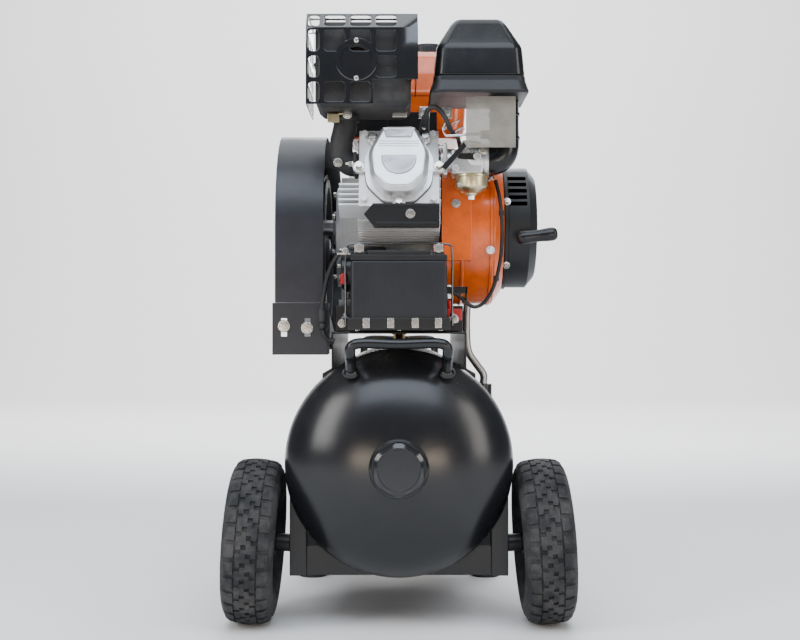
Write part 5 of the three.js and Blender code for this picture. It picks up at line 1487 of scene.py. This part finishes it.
def build_fuel_tank():
    low, high = Vector((-96, -2, 150)) + ENGINE, Vector((112, 205, 297)) + ENGINE
    up = ENGINE.z
    levels = [(up + 150, 16), (up + 162, 4), (up + 217, 0.6), (up + 218.5, -2.4), (up + 224.5, -2.4), (up + 226, 0.6),
              (up + 257, 4), (up + 285, 16), (up + 297, 34)]
    bm = bmesh.new()
    moulding(bm, low, high, levels, 28, 3)
    neck = [(20, high.z - 4), (25, high.z - 4), (25, high.z + 7), (24, high.z + 8), (20, high.z + 8)]
    spun(bm, neck, "z", (ENGINE.x + 50, ENGINE.y + 96, 0), 72, closed=True)
    stand_in("fuel_tank_shell", bm, "orange", "fuel_tank", 42)
    # A dark ribbed plate across the fuel tank's lower front: painted shade, a solid sheet standing where the tank's
    # underside lies in shadow.
    bm = bmesh.new()
    plate = block(bm, ENGINE + Vector((-94, -6, 149)), ENGINE + Vector((62, -4, 190)))
    soften(bm, plate, 0.8)
    for x in (-70, -20, 30):
        pad(bm, ENGINE + Vector((x, -7, 153)), ENGINE + Vector((x + 3, -5, 186)), 0.8)
    piece("tank_shade_plate", bm, "panel", "fuel_tank")
    cap_low, cap_high = box_of("fuel_cap")
    x, y = (cap_low.x + cap_high.x) / 2, (cap_low.y + cap_high.y) / 2
    radius, top = (cap_high.x - cap_low.x) / 2, cap_high.z
    bm = bmesh.new()
    cap = [(0, top - 8), (21, top - 8), (21, cap_low.z), (radius - 1, cap_low.z), (radius, cap_low.z + 1),
           (radius, top - 6),
           (radius - 1.6, top - 3.4), (25, top - 2.6), (24, top), (0, top)]
    spun(bm, cap, "z", (x, y, 0), 96)
    for i in range(30):
        a = math.tau * i / 30
        spot = (x + (radius - 0.8) * math.cos(a), y + (radius - 0.8) * math.sin(a))
        soften(bm, rod(bm, (*spot, cap_low.z + 2), (*spot, top - 6.5), 1.5, None, 10), 0.4, 1)
    stand_in("fuel_cap_shell", bm, "grain", "fuel_cap")


# ---- Turning parts ----

def build_crankshaft():
    x, y, z = 0, ENGINE.y, ENGINE.z
    bm = bmesh.new()
    shaft = [(0, -178), (11, -178), (12.7, -176.4), (12.7, 109), (11.6, 110), (0, 110)]
    spun(bm, shaft, "x", (x, y, z), 64)
    for low, high in ((-30, -16), (14, 28)):
        cheek = rod(bm, (low, y, z), (high, y, z), 40, None, 72)
        soften(bm, cheek, 1.2, 2)
    stand_in("engine_shaft_steel", bm, "turned", "crankshaft")
    bm = bmesh.new()
    hub = [(13.1, 72), (24, 72), (60, 74), (96, 78), (96, 92), (70, 88), (24, 86), (13.1, 86)]
    spun(bm, hub, "x", (x, y, z), 96, closed=True)
    for i in range(12):
        blade = block(bm, (82, -1.6, 58), (106, 1.6, 94))
        bmesh.ops.rotate(bm, cent=(0, 0, 0), matrix=Matrix.Rotation(math.tau * i / 12, 3, "X"), verts=blade)
        bmesh.ops.translate(bm, verts=blade, vec=(0, y, z))
        soften(bm, blade, 0.8, 2)
    stand_in("fan_casting", bm, "alloy", "cooling_fan")


def grooves(outer, root, low, high, count):
    """A pulley rim's profile between two faces with even V grooves."""
    pitch = (high - low) / count
    line = []
    for i in range(count):
        start = low + i * pitch
        line += [(outer, start), (outer, start + pitch * 0.18), (root, start + pitch * 0.36),
                 (root, start + pitch * 0.64), (outer, start + pitch * 0.82)]
    return line + [(outer, high)]


def build_pulleys(sizes):
    count = sizes.belt_grooves
    bm = bmesh.new()
    rim = [(13.1, -175), (50, -175)] + grooves(51.9, 50, -172.6, -137.4, count) + [(50, -135), (13.1, -135)]
    spun(bm, rim, "x", (0, ENGINE.y, ENGINE.z), 96, closed=True)
    stand_in("drive_pulley_iron", bm, "iron", "drive_pulley")
    bm = bmesh.new()
    low, high = box_of("pump_flywheel")
    shaft = [(0, low.x), (14.6, low.x), (16, low.x + 1.4), (16, high.x - 1.4), (14.6, high.x), (0, high.x)]
    spun(bm, shaft, "x", (0, PUMP.y, PUMP.z), 64)
    spun(bm, [(15.6, -178), (33, -178), (34, -177), (34, -134), (33, -133), (15.6, -133)], "x", (0, PUMP.y,
                                                                                                 PUMP.z), 72,
         closed=True)
    ring = [(134, -175), (148, -175)] + grooves(149.9, 147.6, -172.6, -137.4, count) + [(148, -135), (134, -135)]
    spun(bm, ring, "x", (0, PUMP.y, PUMP.z), 128, closed=True)
    for i in range(5):
        spoke = block(bm, (-166.4, -10.4, 30), (-143.6, 10.4, 137))
        bmesh.ops.rotate(bm, cent=(0, 0, 0), matrix=Matrix.Rotation(math.tau * i / 5, 3, "X"), verts=spoke)
        bmesh.ops.translate(bm, verts=spoke, vec=(0, PUMP.y, PUMP.z))
        soften(bm, spoke, 4, 4)
    stand_in("flywheel_iron", bm, "iron", "pump_flywheel")


def belt_run(extra):
    """Outline of the belt's loop at a distance over its pitch line, in Y and Z."""
    small, large = 52.4 + extra, 150.4 + extra
    span = PUMP - ENGINE
    length = math.hypot(span.y, span.z)
    lean = math.atan2(span.z, span.y)
    open_angle = math.acos((small - large) / length)
    points = []
    for centre, radius, start, end in (
        (ENGINE, small, open_angle, math.tau - open_angle),
        (PUMP, large, -open_angle, open_angle),
    ):
        steps = 24 if radius == small else 56
        for i in range(steps + 1):
            a = lean + start + (end - start) * i / steps
            points.append((centre.y + radius * math.cos(a), centre.z + radius * math.sin(a)))
    return points


def build_belt():
    """Belt: one closed band of rectangular section, its edges rounded."""
    low, high = box_of("drive_belt")
    inner, outer = belt_run(0), belt_run(8.6)
    bm = bmesh.new()
    rows = []
    for side, x in ((inner, low.x), (outer, low.x), (outer, high.x), (inner, high.x)):
        rows.append([bm.verts.new((x, y, z)) for y, z in side])
    count = len(inner)
    for row, after in zip(rows, rows[1:] + rows[:1]):
        for i in range(count):
            j = (i + 1) % count
            bm.faces.new((row[i], row[j], after[j], after[i]))
    bmesh.ops.recalc_face_normals(bm, faces=bm.faces)
    bevel(bm, [e for e in bm.edges if abs(e.calc_face_angle(0)) > 1], 1.2, 3)
    stand_in("belt_band", bm, "belt", "drive_belt")


# ---- Pump ----

def build_pump():
    """Pump case, finned cylinders, heads and intake filters."""
    stand_in("pump_case_casting", cad_copy("pump_crankcase", 2.4, 3), "iron", "pump_crankcase", 34)
    bm = bmesh.new()
    for i in range(6):
        a = math.tau * i / 6
        hex_bolt(bm, PUMP + Vector((70, 52 * math.cos(a), 52 * math.sin(a))), (1, 0, 0), 9, 5)
    for x in (-72, 64):
        for y in (-66, 66):
            hex_bolt(bm, PUMP + Vector((x, y, -128.7)), (0, 0, 1), 10, 6)
    piece("pump_case_bolts", bm, "zinc", "pump_crankcase")
    bm = bmesh.new()
    spun(bm, [(0, 70), (13, 70), (14, 71), (14, 75), (13, 76), (0, 76)], "x", PUMP + Vector((0, 0, -36)), 48)
    piece("pump_sight_glass", bm, "brass", "pump_crankcase")
    for side, name in ((-1, "front"), (1, "rear")):
        bank = Matrix.Translation(PUMP) @ Matrix.Rotation(-side * PUMP_BANK, 4, "X")
        bm = bmesh.new()
        spun(bm, [(0, 75), (40, 75), (40, 143), (0, 143)], "z", (-4, 0, 0), 72)
        for i in range(4):
            z = 85 + 14 * i
            spun(bm, [(39, z - 2.4), (51, z - 1.6), (52, z), (51, z + 1.6), (39, z + 2.4)], "z", (-4, 0, 0), 80,
                 closed=True)
        bmesh.ops.transform(bm, matrix=bank, verts=bm.verts)
        stand_in("pump_barrel_" + name, bm, "iron", "pump_cylinder_" + name)
        bm = bmesh.new()
        pad(bm, (-50, -44, 143.3), (42, 44, 166), 2.5, 3)
        for i in range(6):
            y = -42 + 16 * i
            pad(bm, (-48, y, 160), (40, y + 4, 178), 1.2, 2)
        can = [(0, -92), (18, -92), (20, -90), (20.4, -82), (25, -80), (26, -78), (26, -62), (24, -60), (14, -57),
               (12, -52), (12, -45), (0, -45)]
        spun(bm, can, "x", (0, 0, 161), 72)
        bmesh.ops.transform(bm, matrix=bank, verts=bm.verts)
        stand_in("pump_head_casting_" + name, bm, "alloy", "pump_head_" + name, 32)
        bm = bmesh.new()
        for x in (-44, 36):
            for y in (-38, 38):
                hex_bolt(bm, (x, y, 166), (0, 0, 1), 9, 6)
        bmesh.ops.transform(bm, matrix=bank, verts=bm.verts)
        piece("pump_head_bolts_" + name, bm, "zinc", "pump_head_" + name)


# ---- Belt guard ----

def build_guard():
    """Pressed guard with its vents; the CAD's own slots and flanges with softened edges."""
    stand_in("guard_pressing", cad_copy("belt_guard", 0.5, 2, 34), "guard", "belt_guard", 42)


def build_guard_bracket():
    stand_in("bracket_pressing", cad_copy("guard_bracket_front", 0.7, 2), "guard", "guard_bracket_front",
             30)


def build_guard_bolts():
    """Zinc flange bolts that hold the guard bracket in its slots."""
    bm = bmesh.new()
    for spot in ((-176, -307, 466), (-140.5, -307, 463)):
        hex_bolt(bm, spot, (0, -1, 0), 12, 6.5)
    piece("bracket_bolts", bm, "zinc", "guard_bracket_front")


# ---- Air side ----

PIPE = [
    (44, 122, 728), (70, 118, 730), (100, 96, 722), (120, 60, 688), (124, 34, 628), (122, 24, 520), (120, 21, 460),
    (124, 20, 420), (138, 20, 398), (150, 20, 380), (150, 20, 364.4),
]


def build_discharge():
    bm = bmesh.new()
    tube(bm, PIPE, 6.9, 8, 5)
    stand_in("discharge_tube", bm, "steel_pipe", "discharge_pipe")


def build_manifold():
    """Outlet manifold with its gauge: dial, ticks, needle and glass."""
    stand_in("manifold_brass", cad_copy("air_manifold", 0.8, 2), "brass", "air_manifold", 30)
    bm = bmesh.new()
    spun(bm, [(0, 364.2), (21, 364.2), (21, 364.6), (0, 364.6)], "y", (0, 0, 471), 64)
    piece("gauge_dial", bm, "white", "air_manifold")
    bm = bmesh.new()
    for i in range(25):
        a = math.radians(225 - 270 * i / 24)
        reach = 6 if i % 4 == 0 else 3
        tick = block(bm, (20 - reach, 364.5, -0.35), (20, 364.9, 0.35))
        bmesh.ops.rotate(bm, cent=(0, 0, 0), matrix=Matrix.Rotation(-a, 3, "Y"), verts=tick)
        bmesh.ops.translate(bm, verts=tick, vec=(0, 0, 471))
    needle = block(bm, (-4, 364.8, -0.6), (15, 365.2, 0.6))
    bmesh.ops.rotate(bm, cent=(0, 0, 0), matrix=Matrix.Rotation(math.radians(40), 3, "Y"), verts=needle)
    bmesh.ops.translate(bm, verts=needle, vec=(0, 0, 471))
    piece("gauge_marks", bm, "panel", "air_manifold")
    bm = bmesh.new()
    spun(bm, [(21, 363), (25.4, 363), (25.4, 367), (24, 368), (21.6, 367)], "y", (0, 0, 471), 72, closed=True)
    piece("gauge_bezel", bm, "chrome", "air_manifold")
    bm = bmesh.new()
    spun(bm, [(0, 366), (21.8, 366), (21.8, 366.6), (0, 366.6)], "y", (0, 0, 471), 64)
    piece("gauge_window", bm, "glass", "air_manifold")


def build_controls():
    """Regulator knob, outlet lever, safety ring and drain tap."""
    low, high = box_of("regulator_knob")
    y, z = (low.y + high.y) / 2, (low.z + high.z) / 2
    bm = bmesh.new()
    knob = [(0, low.x), (15, low.x), (16.4, low.x + 1.4), (16.4, high.x - 3), (14.6, high.x - 0.6), (12, high.x),
            (0, high.x)]
    spun(bm, knob, "x", (0, y, z), 72)
    for i in range(20):
        a = math.tau * i / 20
        spot = (y + 16.2 * math.cos(a), z + 16.2 * math.sin(a))
        soften(bm, rod(bm, (low.x + 2, *spot), (high.x - 3, *spot), 1.5, None, 12), 0.5, 2)
    stand_in("knob_moulding", bm, "grain", "regulator_knob")
    stand_in("lever_bar", cad_copy("outlet_lever", 1.2, 3), "red", "outlet_lever")
    low, high = box_of("safety_ring")
    x, y = (low.x + high.x) / 2, (low.y + high.y) / 2
    middle = (low.z + high.z) / 2
    loop = [(x + 9 * math.sin(math.tau * i / 24), y, middle + 9 * math.cos(math.tau * i / 24)) for i in range(25)]
    bm = bmesh.new()
    tube(bm, loop, 1.5, 2, 4)
    stand_in("ring_wire", bm, "chrome", "safety_ring")
    stand_in("tap_brass", cad_copy("drain_tap", 0.7, 2), "brass", "drain_tap")


# ---- Operators ----

def settings():
    """Sizes and colours held by the scene, with the finishes mixed once."""
    scene = bpy.context.scene
    if not FINISHES:
        mix_finishes(scene.compressor_colours)
    return scene.compressor_sizes


class COMPRESSOR_OT_tank(bpy.types.Operator):
    """Air tank with its seams, boss and two inspection plugs"""
    bl_idname = "compressor.tank"
    bl_label = "Air tank"

    def execute(self, context):
        settings()
        build_tank()
        build_plug("tank_plug_front", -1)
        build_plug("tank_plug_rear", 1)
        return {"FINISHED"}


class COMPRESSOR_OT_wheels(bpy.types.Operator):
    """Two wheels, each a blocked tyre on a pressed rim"""
    bl_idname = "compressor.wheels"
    bl_label = "Wheels"

    def execute(self, context):
        sizes = settings()
        for name, side in (("left", -1), ("right", 1)):
            build_tyre("tyre_" + name, side, sizes)
            build_rim("rim_" + name, side)
        return {"FINISHED"}


class COMPRESSOR_OT_chassis(bpy.types.Operator):
    """Axle bracket, feet, lift handles, platform and engine rail"""
    bl_idname = "compressor.chassis"
    bl_label = "Chassis"

    def execute(self, context):
        settings()
        build_axle()
        build_feet()
        build_handle("handle_front", -1)
        build_handle("handle_rear", 1)
        build_platform()
        return {"FINISHED"}


class COMPRESSOR_OT_battery(bpy.types.Operator):
    """Battery, tray, strap, relay and cables"""
    bl_idname = "compressor.battery"
    bl_label = "Battery"

    def execute(self, context):
        settings()
        build_battery()
        build_side_switch()
        build_cables()
        return {"FINISHED"}


class COMPRESSOR_OT_engine(bpy.types.Operator):
    """Crankcase, cylinder, rocker cover, deflector and starter motor"""
    bl_idname = "compressor.engine"
    bl_label = "Engine"

    def execute(self, context):
        settings()
        build_crankcase()
        build_cylinder()
        build_rocker_cover()
        build_deflector()
        build_starter()
        return {"FINISHED"}


class COMPRESSOR_OT_exhaust(bpy.types.Operator):
    """Exhaust elbow, muffler and its pierced guard"""
    bl_idname = "compressor.exhaust"
    bl_label = "Exhaust"

    def execute(self, context):
        settings()
        build_exhaust()
        build_muffler()
        build_cage()
        return {"FINISHED"}


class COMPRESSOR_OT_intake(bpy.types.Operator):
    """Air cleaner, elbow, shield and carburettor with its linkage"""
    bl_idname = "compressor.intake"
    bl_label = "Intake"

    def execute(self, context):
        settings()
        build_cleaner()
        build_intake()
        build_carburettor()
        return {"FINISHED"}


class COMPRESSOR_OT_covers(bpy.types.Operator):
    """Fan shroud, recoil starter, pull grip, key and fuel tank"""
    bl_idname = "compressor.covers"
    bl_label = "Covers and fuel tank"

    def execute(self, context):
        settings()
        build_shroud()
        build_recoil()
        build_grip()
        build_key()
        build_fuel_tank()
        return {"FINISHED"}


class COMPRESSOR_OT_drive(bpy.types.Operator):
    """Crankshaft, fan, pulleys, belt and belt guard"""
    bl_idname = "compressor.drive"
    bl_label = "Drive"

    def execute(self, context):
        build_crankshaft()
        build_pulleys(settings())
        build_belt()
        build_guard()
        build_guard_bracket()
        build_guard_bolts()
        return {"FINISHED"}


class COMPRESSOR_OT_pump(bpy.types.Operator):
    """Two-cylinder pump, delivery pipe, manifold and controls"""
    bl_idname = "compressor.pump"
    bl_label = "Pump and air side"

    def execute(self, context):
        settings()
        build_pump()
        build_discharge()
        build_manifold()
        build_controls()
        return {"FINISHED"}


class COMPRESSOR_OT_stage(bpy.types.Operator):
    """Camera, pale floor and studio lights"""
    bl_idname = "compressor.stage"
    bl_label = "Stage"

    def execute(self, context):
        set_stage(settings())
        return {"FINISHED"}


OPERATORS = (
    COMPRESSOR_OT_tank, COMPRESSOR_OT_wheels, COMPRESSOR_OT_chassis, COMPRESSOR_OT_battery, COMPRESSOR_OT_engine,
    COMPRESSOR_OT_exhaust, COMPRESSOR_OT_intake, COMPRESSOR_OT_covers, COMPRESSOR_OT_drive, COMPRESSOR_OT_pump,
    COMPRESSOR_OT_stage,
)


class COMPRESSOR_PT_panel(bpy.types.Panel):
    """Lists the steps that build the compressor"""
    bl_idname = "COMPRESSOR_PT_panel"
    bl_label = "Wheeled Air Compressor"
    bl_space_type = "VIEW_3D"
    bl_region_type = "UI"
    bl_category = "Compressor"

    def draw(self, context):
        column = self.layout.column()
        for group in (context.scene.compressor_sizes, context.scene.compressor_colours):
            for name in group.__annotations__:
                column.prop(group, name)
        for operator in OPERATORS:
            column.operator(operator.bl_idname)


CLASSES = (CompressorSizes, CompressorColours, *OPERATORS, COMPRESSOR_PT_panel)


def register():
    for cls in CLASSES:
        bpy.utils.register_class(cls)
    bpy.types.Scene.compressor_sizes = PointerProperty(type=CompressorSizes)
    bpy.types.Scene.compressor_colours = PointerProperty(type=CompressorColours)


def unregister():
    del bpy.types.Scene.compressor_colours
    del bpy.types.Scene.compressor_sizes
    for cls in reversed(CLASSES):
        bpy.utils.unregister_class(cls)


def main():
    register()
    for operator in OPERATORS:
        group, name = operator.bl_idname.split(".")
        getattr(getattr(bpy.ops, group), name)()


if __name__ == "__main__":
    main()
